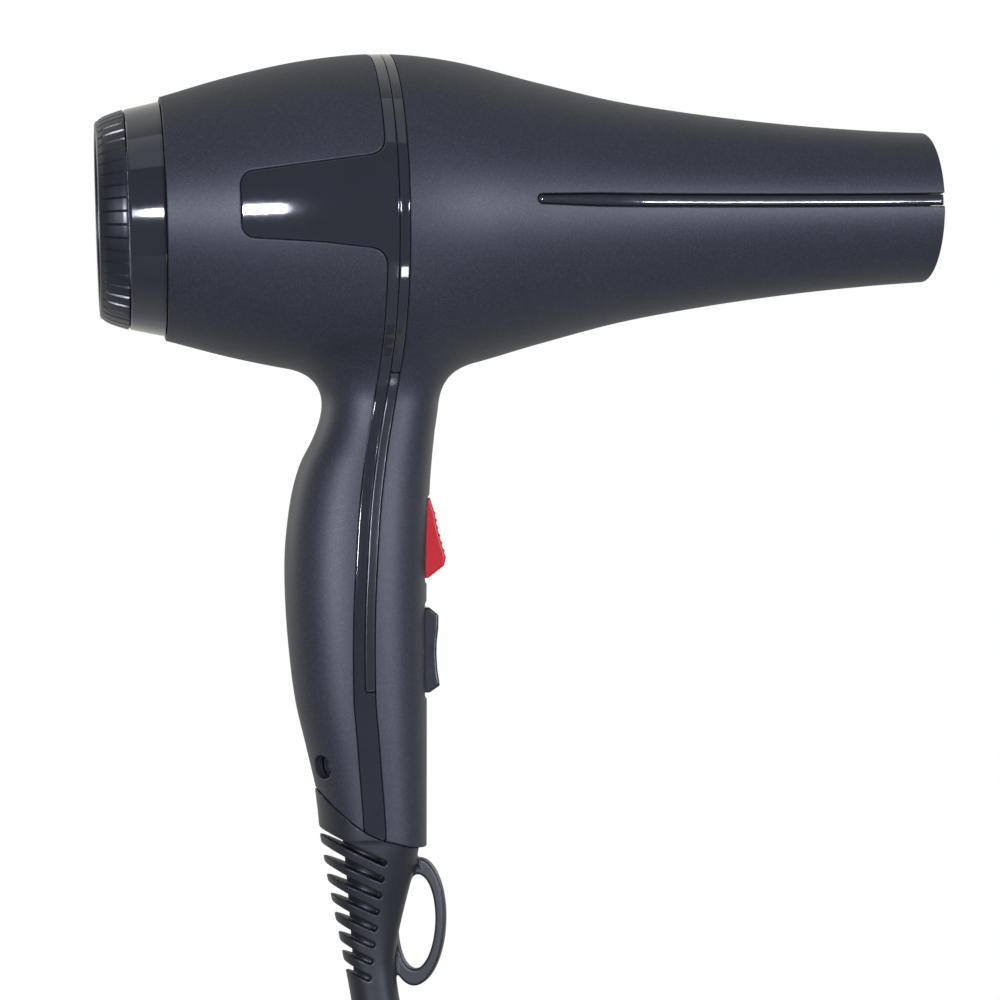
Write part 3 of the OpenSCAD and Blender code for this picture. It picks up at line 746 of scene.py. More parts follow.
# ---------------------------------------------------------------- panel outlines on the body
# Each outline takes points in millimetres and is positive inside.
STRIP_HALF = 3.2
STRIP_LOW = -189
STRIP_SPLIT = 0.2
RING_LOW, RING_HIGH, LEG_LOW = -48, 60, -141
LEG_END_SLOPE = 0.8
TONGUE = [(-208.9, 5.1), (-190, 7.0), (-170, 9.2), (-170, -10.6), (-190, -7.8), (-208.9, -6.0)]
TONGUE_ROUND = 4.0
TONGUE_FILLET = 5.0
PARTING_SLOPE = 0.75
SPINE_END_X = -126.4
SPINE_HALF, SPINE_FLARE = 1.35, 0.5
SPINE_FLARE_X, SPINE_FLARE_L = -127, 18
HANDLE_MID_X = -170
BUTTON_Z, ROCKER_Z = -97.0, -130.0
WINDOW_HALF_Y, BUTTON_HALF_Z, ROCKER_HALF_Z = 7.1, 12.9, 14.2
WINDOW_CORNER = 2.0
WELL = np.array([-192.7, 9.8, -162.9])
WELL_AXIS = np.array([-0.66, 0.75, 0.0])
WELL_R = 3.5
WELL_DEEP = 8
FAR_OUTSIDE = -20.0


def side_view(co):
    """Places along the barrel and up."""
    return co[:, 0], co[:, 2]


def strip_x(z):
    return curve(STRIP, np.maximum(z, STRIP_LOW))


def tongue_side(co):
    x, z = side_view(co)
    return poly_inside(x, z, TONGUE) + TONGUE_ROUND


def strip_side(co):
    """The gloss frame: ring, legs and tongues, joined with a fillet."""
    x, z = side_view(co)
    return blend_cut(STRIP_HALF - np.abs(x - strip_x(z)), tongue_side(co), TONGUE_FILLET)


def above_parting(co):
    x, z = side_view(co)
    return (z - curve(PARTING, x)) * PARTING_SLOPE


def spine_side(co):
    """A bar along the barrel, round at its rear end and wider towards the mouth."""
    x, z = side_view(co)
    half = SPINE_HALF + SPINE_FLARE * np.clip((x - SPINE_FLARE_X) / SPINE_FLARE_L, 0, 1)
    return half - np.hypot(np.maximum(SPINE_END_X - x, 0), z)


def windows_side(co):
    """The openings for the button and the rocker."""
    x, y, z = co.T
    button = box_inside(y, z - BUTTON_Z, WINDOW_HALF_Y, BUTTON_HALF_Z, WINDOW_CORNER)
    rocker = box_inside(y, z - ROCKER_Z, WINDOW_HALF_Y, ROCKER_HALF_Z, WINDOW_CORNER)
    return np.where(x > HANDLE_MID_X, np.maximum(button, rocker), FAR_OUTSIDE)


def well_side(co):
    best = np.full(len(co), FAR_OUTSIDE)
    for s in (-1, 1):
        p = co - WELL * (1, s, 1)
        axis = WELL_AXIS * (1, s, 1)
        along = p @ axis
        r = np.linalg.norm(p - along[:, None] * axis, axis=1)
        best = np.maximum(best, np.where(along > -WELL_DEEP, WELL_R - r, FAR_OUTSIDE))
    return best


def gapped(side, *others):
    """Inside one outline and outside the others, less half the seam."""
    half = sizes().seam / MM / 2

    def inside(co):
        v = side(co)
        for other in others:
            v = np.minimum(v, -other(co))
        return v - half
    return inside


def front_side(co):
    x, z = side_view(co)
    return np.minimum(np.minimum(x - strip_x(z) - STRIP_HALF, RIM_X - x), above_parting(co))


def rear_side(co):
    x, z = side_view(co)
    behind = np.minimum(-strip_side(co), strip_x(z) - x)
    return np.minimum(np.minimum(behind, x - REAR_X), above_parting(co))


def half_strip(co, low, high):
    """The front one of the two strips, between two heights."""
    x, z = side_view(co)
    side = np.minimum(x - strip_x(z) - STRIP_SPLIT, strip_x(z) + STRIP_HALF - x)
    return np.minimum(side, np.minimum(z - low, high - z) * LEG_END_SLOPE)


def ring_side(co):
    return half_strip(co, RING_LOW, RING_HIGH)


def lower_side(co):
    return half_strip(co, LEG_LOW, RING_LOW)


# ---------------------------------------------------------------- operators
SHELL_WALL, TRIM_WALL, SPINE_WALL = 2.3, 2.0, 1.2
FRAME_SUNK, RING_SUNK, SPINE_SUNK = 0.1, 0.05, 0.35


class DRYER_OT_shells(bpy.types.Operator):
    """Make the two satin shells and the gloss frame between them"""

    bl_idname = "dryer.shells"
    bl_label = "Shells and gloss band"

    def execute(self, context):
        step = sizes().mesh_step / MM
        edge = sizes().edge / MM
        skin = Skin(body_field, (REAR_X - 4, -52, -196), (RIM_X + 4, 52, 52), step)
        paint, black = satin_paint(), gloss_black()

        front = skin.copy().panel(gapped(front_side, spine_side, windows_side), SHELL_WALL, edge)
        put(front.piece("front_shell_skin"), "housing", paint, "body_paint", "front_shell")

        rear = skin.copy().panel(gapped(rear_side, well_side), SHELL_WALL, edge)
        put(rear.piece("rear_shell_skin"), "housing", paint, "body_paint", "rear_shell")

        def frame_side(co):
            return np.minimum(strip_side(co), above_parting(co))
        band = skin.copy().panel(gapped(frame_side, ring_side, lower_side), TRIM_WALL, edge, FRAME_SUNK)
        put(band.piece("gloss_frame"), "housing", black, "gloss_black", "trim_band")
        inlay = skin.copy().panel(gapped(lower_side), TRIM_WALL, edge, FRAME_SUNK)
        put(inlay.piece("handle_inlay"), "housing", satin_black(), "gloss_black", "trim_band")
        ring = skin.copy().panel(gapped(ring_side), TRIM_WALL, edge, RING_SUNK)
        put(ring.piece("gloss_ring"), "housing", black, "gloss_black", "trim_ring")

        for side, word in ((-1, "left"), (1, "right")):
            def bar(co, side=side):
                return np.minimum(np.minimum(spine_side(co), co[:, 1] * side), RIM_X + 0.02 - co[:, 0])
            spine = skin.copy()
            spine.cut(lambda co, bar=bar: bar(co) + 0.01)
            for d in (0.35, 0.8, 1.3):  # lines of edges for the rounded top
                spine.cut(lambda co, d=d, bar=bar: bar(co) - d, keep=True)
            spine.panel(gapped(bar), SPINE_WALL, 1.2, SPINE_SUNK)
            put(spine.piece("spine_" + word), "housing", black, "gloss_black", "side_spine_" + word)
        return {"FINISHED"}


WELL_CUP = [(-2.3, WELL_R - 0.1), (-2.3, WELL_R + 0.4), (-6.2, WELL_R + 0.4), (-6.2, 1.2), (-5.6, 1.2),
            (-5.6, WELL_R - 0.25)]
SCREW_HEAD = [(-5.4, 0.01), (-5.4, 2.2), (-4.6, 2.2), (-4.0, 1.6), (-3.8, 0.9), (-4.5, 0.8), (-4.5, 0.01)]


class DRYER_OT_wells(bpy.types.Operator):
    """Make the screw wells low on the back of the handle, with their screws"""

    bl_idname = "dryer.wells"
    bl_label = "Handle screws"

    def execute(self, context):
        paint = satin_paint()
        steel = metal("dark_screw", (0.10, 0.10, 0.11), 0.4, metallic=0.8)
        for s in (-1, 1):
            axis = Vector(WELL_AXIS * (1, s, 1))
            turn = Vector((0, 0, 1)).rotation_difference(axis).to_matrix().to_4x4()
            base = Matrix.Translation(Vector(WELL * (1, s, 1)) * MM) @ turn
            word = "left" if s < 0 else "right"
            cup = lathe("screw_well_" + word, WELL_CUP, 48, "Z")
            cup.data.transform(base)
            put(cup, "housing", paint, "body_paint")
            head = lathe("screw_head_" + word, SCREW_HEAD, 32, "Z")
            head.data.transform(base)
            put(head, "housing", steel, "screw_steel", *(["handle_screws"] if s < 0 else []))
        return {"FINISHED"}


class DRYER_OT_rear_end(bpy.types.Operator):
    """Make the gloss ring, the ribbed filter cap and its woven filter"""

    bl_idname = "dryer.rear_end"
    bl_label = "Rear ring and filter cap"

    def execute(self, context):
        ring = lathe("rear_gloss_ring", [
            (RING_X, 26.2), (RING_X, 31.8), (RING_X + 0.15, 32.1), (RING_X + 0.5, 32.3),
            (RING_X + 0.8, 32.37), (RING_X + 5, 33.3), (REAR_X - 0.8, 34.29),
            (REAR_X - 0.5, 34.35), (REAR_X - 0.15, 34.3), (REAR_X - 0.1, 34.0), (REAR_X + 0.4, 33.3),
            (REAR_X + 6, 33.2), (REAR_X + 6, 26.2)], 192)
        put(ring, "housing", gloss_black(), "gloss_black", "rear_ring")
        self.cap()
        self.filter()
        return {"FINISHED"}

    def cap(self):
        """Turned cap. Each station is (along, radius, share of the groove's depth)."""
        per = 20
        n = sizes().ribs * per
        lip = 28.7
        end = RING_X - 0.2
        stations = [(CAP_X + 1.6, 25.8, 0), (CAP_X + 0.2, 25.8, 0), (CAP_X, 26.1, 0), (CAP_X, lip - 0.5, 0),
                    (CAP_X + 0.15, lip - 0.15, 0), (CAP_X + 0.5, lip + 0.15, 0), (CAP_X + 0.9, 29.1, 0.2),
                    (CAP_X + 1.3, 29.5, 1), (CAP_X + 2.1, 30.0, 1), (CAP_X + 3.1, 30.5, 1),
                    (CAP_X + 4.8, 31.15, 1), (CAP_X + 6.5, 31.7, 1), (end - 0.5, 32.15, 1),
                    (end - 0.2, 32.1, 0.6), (end, 31.8, 0), (end, 28.9, 0), (CAP_X + 2.0, 28.4, 0),
                    (CAP_X + 1.7, 28.0, 0)]
        verts = []
        for i in range(n):
            t = 2 * math.pi * (i + 0.2 * per) / n
            groove = {0: 0.5, 1: 0.26, per - 1: 0.26}.get(i % per, 0.0)
            for x, r, w in stations:
                rr = r - w * groove
                verts.append((x, rr * math.cos(t), rr * math.sin(t)))
        cap = mesh_piece("ribbed_cap", verts, hoop_faces(n, len(stations)))
        black = plastic("cap_black", tuple(finishes().cap), 0.3, spread=0.03)
        put(cap, "cap", black, "cap_plastic", "filter_cap")

    def filter(self):
        """Woven wire disc: two families of waved wires in a thin rim."""
        radius, pitch, wire = 25.4, 1.9, 0.22
        x0 = CAP_X + 1.3
        verts, faces = [], []
        count = int(radius / pitch)
        for family in (0, 1):
            for i in range(-count, count + 1):
                off = i * pitch
                half = math.sqrt(radius**2 - off**2)
                steps = max(int(2 * half / pitch) * 2, 4)
                rows = []
                for s in range(steps + 1):
                    along = -half + 2 * half * s / steps
                    wave = wire * 0.9 * math.cos(math.pi * (along / pitch + i + family))
                    rows.append((x0 + wave, off, along) if family else (x0 + wave, along, off))
                base = len(verts)
                for p in rows:
                    for k in range(6):
                        a = math.pi * k / 3
                        u, w = wire * math.cos(a), wire * math.sin(a)
                        q = (p[0] + u, p[1] + w, p[2]) if family else (p[0] + u, p[1], p[2] + w)
                        verts.append(q)
                for r in range(len(rows) - 1):
                    for k in range(6):
                        a, b = base + r * 6 + k, base + r * 6 + (k + 1) % 6
                        faces.append((a, b, b + 6, a + 6))
                faces.append(tuple(base + k for k in range(5, -1, -1)))
                faces.append(tuple(base + (len(rows) - 1) * 6 + k for k in range(6)))
        mesh = mesh_piece("woven_filter", verts, faces)
        steel = metal("woven_wire", (0.42, 0.42, 0.43), 0.35)
        put(mesh, "cap", steel, "steel_mesh", "filter_mesh")
        rim = lathe("filter_rim", [(x0 - 0.5, 24.9), (x0 - 0.5, 25.75), (x0 + 0.5, 25.75), (x0 + 0.5, 24.9)])
        put(rim, "cap", steel, "steel_mesh")


BUTTON_SIDE = [(-162.6, -85.8), (-157.2, -84.6), (-155.9, -89.2), (-155.2, -93.8), (-154.0, -99.0),
               (-153.0, -102.6), (-153.6, -104.9), (-158.4, -108.4), (-163.4, -108.6)]
ROCKER_SIDE = [(-163.6, -117.6), (-158.4, -117.2), (-155.7, -119.6), (-155.9, -123.6), (-156.5, -127.6),
               (-156.7, -131.1), (-156.6, -135.6), (-156.0, -140.6), (-159.2, -142.6), (-163.6, -142.4),
               (-166.0, -130)]
KEY_HALF_Y = 6.5
RIDGE, RIDGE_PITCH, RIDGE_SLANT = 0.42, 2.1, 0.34
RIDGE_X, RIDGE_LOW, RIDGE_HIGH = -158, -103, -87.5


class DRYER_OT_button(bpy.types.Operator):
    """Make the ridged red cool shot button"""

    bl_idname = "dryer.button"
    bl_label = "Cool shot button"

    def execute(self, context):
        def field(x, y, z):
            phase = (z + RIDGE_SLANT * (x + 154) + 96.0) * 2 * math.pi / RIDGE_PITCH
            ridge = RIDGE * np.clip(np.cos(phase), -0.4, 1)
            fade = np.clip((RIDGE_HIGH - z) / 2, 0, 1) * np.clip((z - RIDGE_LOW) / 2, 0, 1)
            face = np.where(x > RIDGE_X, ridge * fade, 0)
            middle = 1 - np.clip(np.abs(y) - 5.2, 0, 1)
            side = -poly_inside(x, z, BUTTON_SIDE) - 0.05 - face * middle
            return blend_cut(side, np.abs(y) - KEY_HALF_Y, 0.9)
        skin = Skin(field, (-165, -8, -111), (-150.5, 8, -83), 0.3).solid()
        red = plastic("button_red", tuple(finishes().red), 0.36, variation=0.06, shine=0.25)
        put(skin.piece("red_button"), "cool_button", red, "red_plastic", "cool_button")
        return {"FINISHED"}


class DRYER_OT_rocker(bpy.types.Operator):
    """Make the concave speed rocker"""

    bl_idname = "dryer.rocker"
    bl_label = "Speed rocker"

    def execute(self, context):
        def field(x, y, z):
            return blend_cut(-poly_inside(x, z, ROCKER_SIDE), np.abs(y) - KEY_HALF_Y, 1.0)
        skin = Skin(field, (-168, -8, -145), (-153, 8, -115), 0.4).solid()
        black = plastic("rocker_black", tuple(finishes().rocker), 0.3, coat=0.1)
        put(skin.piece("rocker_cap"), "rocker", black, "switch_plastic", "speed_rocker")
        return {"FINISHED"}


BOOT_REAR = [(-256, -180.2), (-240, -184.0), (-229, -185.6), (-221, -186.9), (-214, -188.0),
             (-208, -189.0), (-202, -190.0), (-196, -191.0), (-190, -191.8), (-184, -192.6), (-176, -193.0)]
BOOT_FRONT = [(-256, -169.4), (-240, -169.9), (-229, -171.2), (-222, -171.6), (-214, -170.2), (-207, -168.4),
              (-200, -166.4), (-194, -164.6), (-189, -163.4), (-184, -162.4), (-176, -160.6)]
BOOT_WIDE = [(-256, 5.4), (-240, 7.0), (-229, 7.3), (-222, 7.5), (-214, 8.2), (-206, 9.6), (-198, 11.6),
             (-190, 13.6), (-184, 14.5), (-176, 15.2)]
BOOT_CORE_R = [(-240, 5.0), (-226, 5.2), (-208, 6.0), (-190, 7.2), (-180, 8.5)]
BOOT_CORE_X = [(-240, -178.4), (-226, -178.8), (-190, -178.4), (-180, -178)]
BOOT_POWER = 2.2
BOOT_END_Z = -256
COLLAR_SUNK, COLLAR_LOW = 0.35, -184.5
PARTING_GAP = 0.02
LIP_SUNK, LIP_WALL, LIP_UP, LIP_DOWN = 2.7, 1.7, 2.6, 4
SOCKET_X, SOCKET_HALF_X, SOCKET_HALF_Y, SOCKET_LOW = -178.5, 8.7, 8.2, -182.2
SLOT_SLOPE = math.radians(28)
SLOT_X, SLOT_Z = -175.4, -191.6
SLOT_STEP_X, SLOT_STEP_Z = -0.72, -4.93
SLOT_HALF, SLOT_FLARE = 0.85, 0.038
LOOP_AT = np.array([-164.5, 0.2, -211.2])
LOOP_TURN = math.radians(-22)
LOOP_LEAN = math.radians(4.6)
LOOP_OUTER, LOOP_HOLE, LOOP_HALF_THICK = (8.8, 19.1), (5.9, 14.1), 1.9


def boot_outer(x, y, z):
    rear, front, half_y = curve(BOOT_REAR, z), curve(BOOT_FRONT, z), curve(BOOT_WIDE, z)
    return oval_field(x - (rear + front) / 2, y, (front - rear) / 2, half_y, BOOT_POWER)


def boot_core(x, y, z):
    """The solid middle of the tail, which the slots leave."""
    return np.hypot(x - curve(BOOT_CORE_X, z), y) - curve(BOOT_CORE_R, z)


def slot_field(x, z, k):
    """Slot k, counted from the top: open to the rear, round at its front end."""
    dx, dz = x - SLOT_X - SLOT_STEP_X * k, z - SLOT_Z - SLOT_STEP_Z * k
    c, s = math.cos(SLOT_SLOPE), math.sin(SLOT_SLOPE)
    along, across = dx * c - dz * s, dz * c + dx * s
    half = SLOT_HALF + (SLOT_FLARE if k else 0.0) * np.clip(-along, 0, 20)
    return np.where(along < 0, np.abs(across) - half, np.hypot(across, along) - half)


def loop_field(x, y, z):
    """The hanging loop: a flat oval ring, turned and leaning."""
    px, py, pz = x - LOOP_AT[0], y - LOOP_AT[1], z - LOOP_AT[2]
    cl, sl = math.cos(LOOP_LEAN), math.sin(LOOP_LEAN)
    level, w = px * cl - pz * sl, px * sl + pz * cl
    ct, st = math.cos(LOOP_TURN), math.sin(LOOP_TURN)
    u, v = level * ct + py * st, -level * st + py * ct

    def oval(a, b):
        rho = np.maximum(np.hypot(u / a, w / b), 1e-3)
        return (rho - 1) * rho / np.maximum(np.hypot(u / a**2, w / b**2), 1e-3)
    ring = blend_cut(oval(*LOOP_OUTER), -oval(*LOOP_HOLE), 0.8)
    return blend_cut(ring, np.abs(v) - LOOP_HALF_THICK, 0.9)


def boot_field(x, y, z):
    """Collar that carries on the handle, a lip inside it, the slotted tail and the loop."""
    grip = grip_field(x, y, z)
    collar = grip + COLLAR_SUNK + np.maximum(COLLAR_LOW - z, 0) * 1.2
    shape = blend_in(boot_outer(x, y, z), collar, 2.0)
    mid = (curve(REAR_EDGE, z) + curve(FRONT_EDGE, z)) / 2
    lean = (x - mid) / np.maximum(np.hypot(x - mid, y), 1)
    skin_x = x - np.clip(grip, -LIP_SUNK + 0.1, 0) * lean
    part = (z - curve(PARTING, skin_x)) * PARTING_SLOPE
    shape = blend_cut(shape, part + PARTING_GAP, 0.15)
    inset = grip + LIP_SUNK
    lip = np.maximum(np.maximum(inset, -inset - LIP_WALL), np.maximum(part - LIP_UP, -part - LIP_DOWN))
    shape = np.minimum(shape, lip)
    carve = np.full(np.broadcast(x, y, z).shape, 50.0)
    for k in range(sizes().fins):
        carve = np.minimum(carve, slot_field(x, z, k))
    carve = blend_cut(carve, -boot_core(x, y, z), 0.7)
    across = np.maximum(np.abs(x - SOCKET_X) - SOCKET_HALF_X, np.abs(y) - SOCKET_HALF_Y)
    hollow = np.maximum(across, SOCKET_LOW - z)
    shape = blend_cut(shape, -np.minimum(carve, hollow), 0.5)
    shape = blend_cut(shape, BOOT_END_Z - z, 1.2)
    return blend_in(shape, loop_field(x, y, z), 1.5)


class DRYER_OT_boot(bpy.types.Operator):
    """Make the rubber boot: collar, comb of fins, tail and hanging loop"""

    bl_idname = "dryer.boot"
    bl_label = "Cord boot and loop"

    def execute(self, context):
        skin = Skin(boot_field, (-200, -17.5, -258), (-150, 17.5, -160), 0.42).solid()
        rubber = plastic("boot_rubber", tuple(finishes().rubber), 0.44, grain=0.0005, variation=0.12)
        put(skin.piece("finned_boot"), "housing", rubber, "boot_rubber", "cord_boot")
        return {"FINISHED"}


# ---------------------------------------------------------------- cord
EXIT = (-174.8, 0, -256)
LEAD = [EXIT, (-174.2, -0.3, -262), (-174, -1.3, -269), (-172.5, -4.2, -280.3), (-168, -7.7, -291),
        (-161, -10.7, -300), (-150.7, -12, -307.7)]
COIL_AT = (-173.8, 0, -352)
COIL_OUTER, COIL_INNER = 50.0, 42.0
COIL_COLUMNS = [-1.5, -0.5, 0.5, 1.5, 1.5, 0.5, -0.5, -1.5]
COIL_LAST = len(COIL_COLUMNS) - 1
COIL_START, COIL_END = 62, COIL_LAST * 360 + 342
COIL_CROSSING = 76
TAIL = [(-166.5, -30, -310.6), (-155, -30, -315), (-145.2, -30, -323), (-139, -30, -334),
        (-136.8, -30, -348)]
PLUG_AT = TAIL[-1]
RELIEF_L, MOULDING_L, PIN_L = 22, 30, 19


def smooth_route(points, per=8):
    """Points on a Catmull-Rom curve through the given ones."""
    p = [Vector(q) for q in points]
    p = [2 * p[0] - p[1]] + p + [2 * p[-1] - p[-2]]
    out = []
    for i in range(1, len(p) - 2):
        for k in range(per):
            u = k / per
            out.append(0.5 * ((2 * p[i]) + (p[i + 1] - p[i - 1]) * u
                              + (2 * p[i - 1] - 5 * p[i] + 4 * p[i + 1] - p[i + 2]) * u**2
                              + (3 * p[i] - p[i - 1] - 3 * p[i + 1] + p[i + 2]) * u**3))
    return out + [p[-2]]


def ease(t):
    """Soft step from 0 to 1."""
    t = min(max(t, 0), 1)
    return (1 - math.cos(math.pi * t)) / 2


def coil_route(d):
    """Four turns side by side outside, four back inside, then out in front of the ring."""
    out = []
    for a in range(4, COIL_END + 1, 6):
        turn, into = divmod(a, 360)
        t = ease((into - 360 + COIL_CROSSING) / COIL_CROSSING)
        column, following = COIL_COLUMNS[turn], COIL_COLUMNS[min(turn + 1, COIL_LAST)]
        y = d * (column + (following - column) * t)
        r = COIL_OUTER if turn < 3 else COIL_INNER
        if turn == 3:
            r = COIL_OUTER + (COIL_INNER - COIL_OUTER) * t
        if turn == COIL_LAST:
            y = column * d - 18 * ease((into - 222) / 120)
        th = math.radians(COIL_START - a)
        out.append(Vector((COIL_AT[0] + r * math.cos(th), y, COIL_AT[2] + r * math.sin(th))))
    return out


class DRYER_OT_cord(bpy.types.Operator):
    """Make the mains lead, its stored coil, the tie and the plug"""

    bl_idname = "dryer.cord"
    bl_label = "Cord and plug"

    def execute(self, context):
        d = sizes().cord_d / MM
        points = smooth_route(LEAD)[:-1] + coil_route(d) + smooth_route(TAIL)[1:]
        data = bpy.data.curves.new("mains_lead", "CURVE")
        data.dimensions = "3D"
        data.bevel_depth = d * MM / 2
        data.bevel_resolution = 6
        data.use_fill_caps = True
        spline = data.splines.new("POLY")
        spline.points.add(len(points) - 1)
        for sp, p in zip(spline.points, points):
            sp.co = (*(p * MM), 1)
        spline.use_smooth = True
        lead = add_object("mains_lead", data)
        put(lead, "housing", lead_rubber(), "cord_rubber", "power_cord", "cord_coil")
        tie = self.tie(d)
        relief, body, pins = self.plug()
        measured = sum((b - a).length for a, b in zip(points, points[1:])) * MM
        print("cord length", round(measured, 3))
        return {"FINISHED"}

    def tie(self, d):
        """Hook and loop strap round the bottom of the coil."""
        cx, cz = COIL_AT[0], COIL_AT[2]
        lo_z, hi_z, half_y, thick = cz - 54, cz - 38, 2 * d, 1.2
        ring = []
        for y, z, a0 in ((half_y, hi_z, 0), (-half_y, hi_z, 90), (-half_y, lo_z, 180), (half_y, lo_z, 270)):
            sy, sz = math.copysign(1, y), 1 if z == hi_z else -1
            for k in range(7):
                a = math.radians(a0 + 15 * k)
                ring.append((y - sy * 2.2, z - sz * 2.2, math.cos(a), math.sin(a)))
        verts, faces = [], []
        across = [-8, -7.6, -4, 0, 4, 7.6, 8]
        for cy, czz, ca, sa in ring:
            for x in across:
                bow = 0.35 * (1 - (x / 8) ** 2)
                for r in (2.3, 2.3 + thick):
                    edge = 0.25 if abs(x) == 8 and r > 2.5 else 0
                    rr = r + bow * 0.3 - edge
                    verts.append((cx + x, cy + rr * ca, czz + rr * sa))
        m = len(across)
        n = len(ring)
        for i in range(n):
            j = (i + 1) % n
            for k in range(m - 1):
                a, b = (i * m + k) * 2, (j * m + k) * 2
                faces.append((a + 1, b + 1, b + 3, a + 3))
                faces.append((a, a + 2, b + 2, b))
            for k, flip in ((0, False), (m - 1, True)):
                a, b = (i * m + k) * 2, (j * m + k) * 2
                face = (a, b, b + 1, a + 1)
                faces.append(face[::-1] if flip else face)
        tie = mesh_piece("cord_strap", verts, faces)
        return put(tie, "housing", webbing(), "tie_fabric", "cord_tie")

    def plug(self):
        px, py, pz = PLUG_AT
        moulded = plastic("plug_black", (0.018, 0.019, 0.022), 0.38)

        def relief_field(x, y, z):
            u = pz - z
            r = 4.5 + 0.115 * np.clip(u, 0, RELIEF_L)
            groove = 0.75 * np.clip(np.cos(u * 2 * math.pi / 3.6), 0, 1) * (u < 19) * (u > 2)
            groove = np.where(np.abs(y - py) > 2.2, groove, 0)
            half = RELIEF_L / 2
            return blend_cut(np.hypot(x - px, y - py) - r + groove, np.abs(u - half) - half, 0.8)

        def moulding_field(x, y, z):
            u = pz - RELIEF_L - z
            a = curve([(0, 10.5), (4, 13.5), (10, 16.2), (18, 17.4), (30, 17.2)], u)
            b = curve([(0, 7.6), (5, 9.2), (12, 10.2), (30, 10.0)], u)
            grips = 0.45 * np.clip(np.cos((u - 12) * 2 * math.pi / 2.6), 0, 1) * (np.abs(u - 12) < 6.5)
            side = oval_field(x - px, y - py, a, b, 2.8) + np.where(np.abs(x - px) > 12, grips, 0)
            half = MOULDING_L / 2
            return blend_cut(side, np.abs(u - half) - half, 1.4)
        relief = Skin(relief_field, (px - 9, py - 9, pz - 23), (px + 9, py + 9, pz + 1), 0.45).solid()
        relief = put(relief.piece("plug_relief"), "housing", lead_rubber(), "cord_rubber", "plug_boot")
        body = Skin(moulding_field, (px - 19, py - 12, pz - 53), (px + 19, py + 12, pz - 21), 0.7).solid()
        body = put(body.piece("plug_moulding"), "housing", moulded, "plug_plastic", "plug_body")
        tip = pz - RELIEF_L - MOULDING_L - PIN_L
        outline = [(tip, 0.01), (tip, 1.5), (tip + 0.25, 2.0), (tip + 0.8, 2.35), (tip + 1.4, 2.4),
                   (tip + 9.0, 2.4), (tip + 9.05, 2.3), (tip + 9.3, 2.3), (tip + 9.35, 2.38),
                   (tip + 19.5, 2.38), (tip + 19.5, 0.01)]
        verts, faces = [], []
        for s in (-1, 1):
            faces += hoop_faces(40, len(outline), len(verts))
            verts += turned(outline, 40, "Z", (px + 9.5 * s, py, 0))
        pins = mesh_piece("plug_contacts", verts, faces)
        nickel = metal("nickel_pin", (0.72, 0.70, 0.66), 0.18, (1, 1, 0.1))
        return relief, body, put(pins, "housing", nickel, "pin_metal", "plug_pins")


class DRYER_OT_inner(bpy.types.Operator):
    """Give every CAD node that stays its own procedural material"""

    bl_idname = "dryer.inner"
    bl_label = "Inner parts"

    def execute(self, context):
        by_slot = inner_materials()
        for row in frame["record"]["subparts"]:
            obj = frame["nodes"][row["node"]]
            if obj.hide_render:
                continue
            obj.data.materials.clear()
            obj.data.materials.append(by_slot[row["material_slot"]])
        return {"FINISHED"}


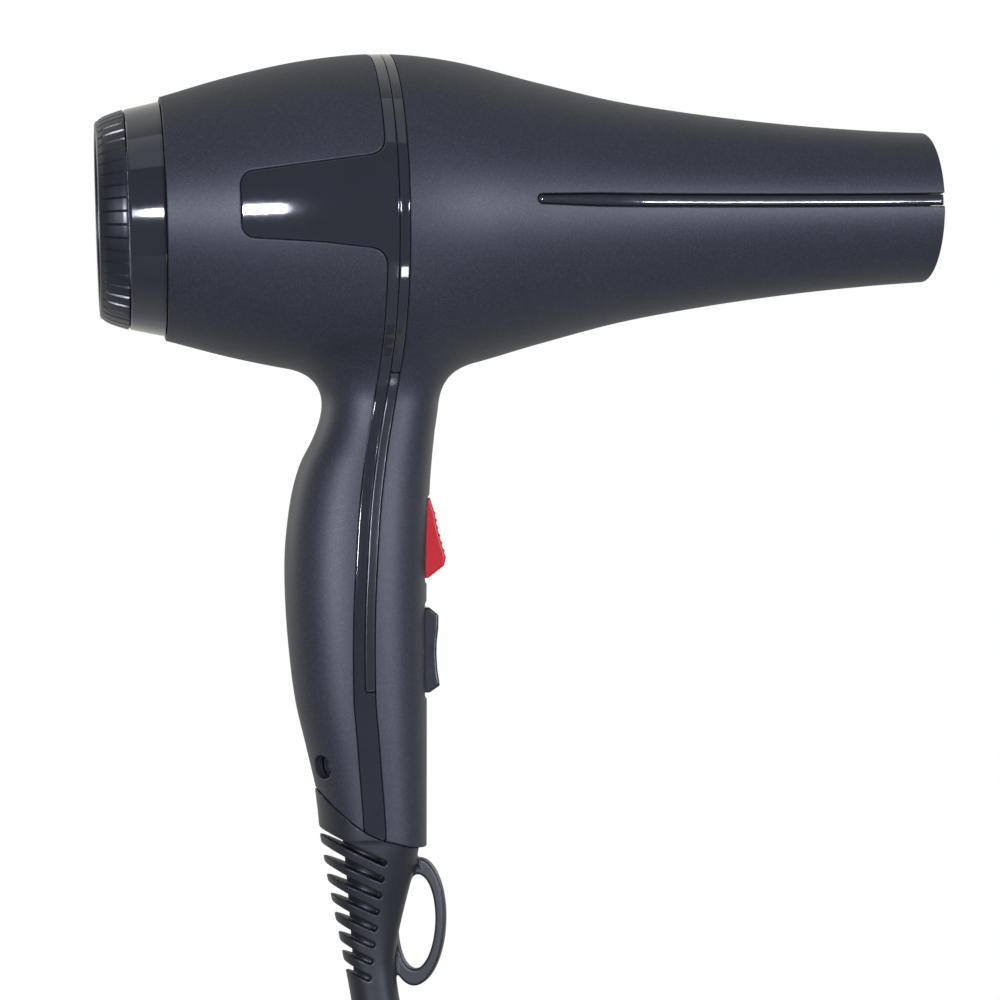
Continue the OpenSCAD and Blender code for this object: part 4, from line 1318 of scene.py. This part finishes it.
# ---------------------------------------------------------------- studio
class DRYER_OT_studio(bpy.types.Operator):
    """Make the camera, floor, lights and pale surroundings"""

    bl_idname = "dryer.studio"
    bl_label = "Studio"

    def execute(self, context):
        scene = bpy.context.scene
        scene.view_settings.view_transform = "Standard"
        self.camera(scene)
        self.floor()
        self.lights()
        self.world(scene)
        return {"FINISHED"}

    def camera(self, scene):
        azimuth, roll = math.radians(-9.4), math.radians(1.9)
        aim = Vector((-135.1, 0, -86.0)) * MM
        ahead = Vector((-math.sin(azimuth), math.cos(azimuth), 0))
        side = Vector((math.cos(azimuth), math.sin(azimuth), 0))
        up = Vector((0, 0, 1))
        right = side * math.cos(roll) - up * math.sin(roll)
        top = side * math.sin(roll) + up * math.cos(roll)
        data = bpy.data.cameras.new("studio_camera")
        data.lens = 96
        data.sensor_width = 36
        data.clip_start = 0.01
        distance = 0.803
        cam = add_object("studio_camera", data)
        turn = Matrix((right, top, -ahead)).transposed().to_4x4()
        cam.matrix_world = Matrix.Translation(aim - ahead * distance) @ turn
        scene.camera = cam

    def floor(self):
        z = CAD_BOX[0][2] / MM - 2
        n, mid_x, radius = 96, -140, 560
        verts = [(mid_x + radius * math.cos(2 * math.pi * i / n), radius * math.sin(2 * math.pi * i / n), z)
                 for i in range(n)]
        floor = mesh_piece("studio_floor", verts, [tuple(range(n))], smooth=False)
        floor.data.materials.append(pale_floor())

    def lights(self):
        blue, cool, warm = (0.80, 0.85, 1.0), (0.88, 0.95, 1.0), (1.0, 0.99, 0.94)
        rows = [("front_left", (-0.70, -1.30, 0.02), 0.13, 0.14, 18.5, blue),
                ("front_right", (0.66, -1.30, 0.02), 0.16, 0.11, 17.2, blue),
                ("glint", (-0.088, -0.372, -0.361), 0.034, 0.064, 0.11, cool),
                ("ceiling", (-0.2, -0.55, 1.2), 1.6, 0.9, 1.9, cool),
                ("back_left", (-1.2, 0.7, 0.4), 0.8, 1.0, 5, warm),
                ("back_right", (0.9, 0.8, 0.4), 0.8, 1.0, 5, warm)]
        for name, place, wide, tall, watts, tint in rows:
            data = bpy.data.lights.new(name, "AREA")
            data.shape = "RECTANGLE"
            data.size, data.size_y = wide, tall
            data.energy = watts
            data.color = tint
            lamp = add_object(name, data)
            lamp.location = place
            aim = Vector((-0.13, 0, -0.06)) - Vector(place)
            lamp.rotation_euler = aim.to_track_quat("-Z", "Y").to_euler()
            lamp.visible_camera = False

    def world(self, scene):
        """White to the camera. As light, dim in front of the dryer and brighter behind it."""
        world = bpy.data.worlds.new("pale_room")
        scene.world = world
        world.use_nodes = True
        tree = world.node_tree
        tree.nodes.clear()
        out = tree.nodes.new("ShaderNodeOutputWorld")
        seen, lit = tree.nodes.new("ShaderNodeBackground"), tree.nodes.new("ShaderNodeBackground")
        seen.inputs[0].default_value = (1, 1, 1, 1)
        seen.inputs[1].default_value = 1.0
        path = tree.nodes.new("ShaderNodeLightPath")
        mix = tree.nodes.new("ShaderNodeMixShader")
        coord = tree.nodes.new("ShaderNodeTexCoord")
        split = tree.nodes.new("ShaderNodeSeparateXYZ")
        tree.links.new(coord.outputs["Generated"], split.inputs[0])
        tree.links.new(map_range(tree, split.outputs["Y"], 0.035, 0.62, -0.35, 0.3), lit.inputs[1])
        lit.inputs[0].default_value = (1.0, 1.0, 0.95, 1)
        tree.links.new(path.outputs["Is Camera Ray"], mix.inputs[0])
        tree.links.new(lit.outputs[0], mix.inputs[1])
        tree.links.new(seen.outputs[0], mix.inputs[2])
        tree.links.new(mix.outputs[0], out.inputs[0])


OPERATORS = (DRYER_OT_studio, DRYER_OT_cord, DRYER_OT_shells, DRYER_OT_wells, DRYER_OT_rear_end,
             DRYER_OT_button, DRYER_OT_rocker, DRYER_OT_boot, DRYER_OT_inner)


class DRYER_PT_panel(bpy.types.Panel):
    """Lists the dryer's making steps in order"""

    bl_idname = "DRYER_PT_panel"
    bl_label = "Hair dryer"
    bl_space_type = "VIEW_3D"
    bl_region_type = "UI"
    bl_category = "Dryer"

    def draw(self, context):
        for step in OPERATORS:
            self.layout.operator(step.bl_idname)
        for group in (context.scene.dryer_sizes, context.scene.dryer_finish):
            box = self.layout.box()
            for key in group.__annotations__:
                box.prop(group, key)


CLASSES = (DryerFinish, DryerSizes, *OPERATORS, DRYER_PT_panel)


def register():
    for cls in CLASSES:
        bpy.utils.register_class(cls)
    bpy.types.Scene.dryer_finish = PointerProperty(type=DryerFinish)
    bpy.types.Scene.dryer_sizes = PointerProperty(type=DryerSizes)


def unregister():
    del bpy.types.Scene.dryer_sizes
    del bpy.types.Scene.dryer_finish
    for cls in reversed(CLASSES):
        bpy.utils.unregister_class(cls)


def main():
    register()
    for step in OPERATORS:
        group, name = step.bl_idname.split(".")
        getattr(getattr(bpy.ops, group), name)()


if __name__ == "__main__":
    main()
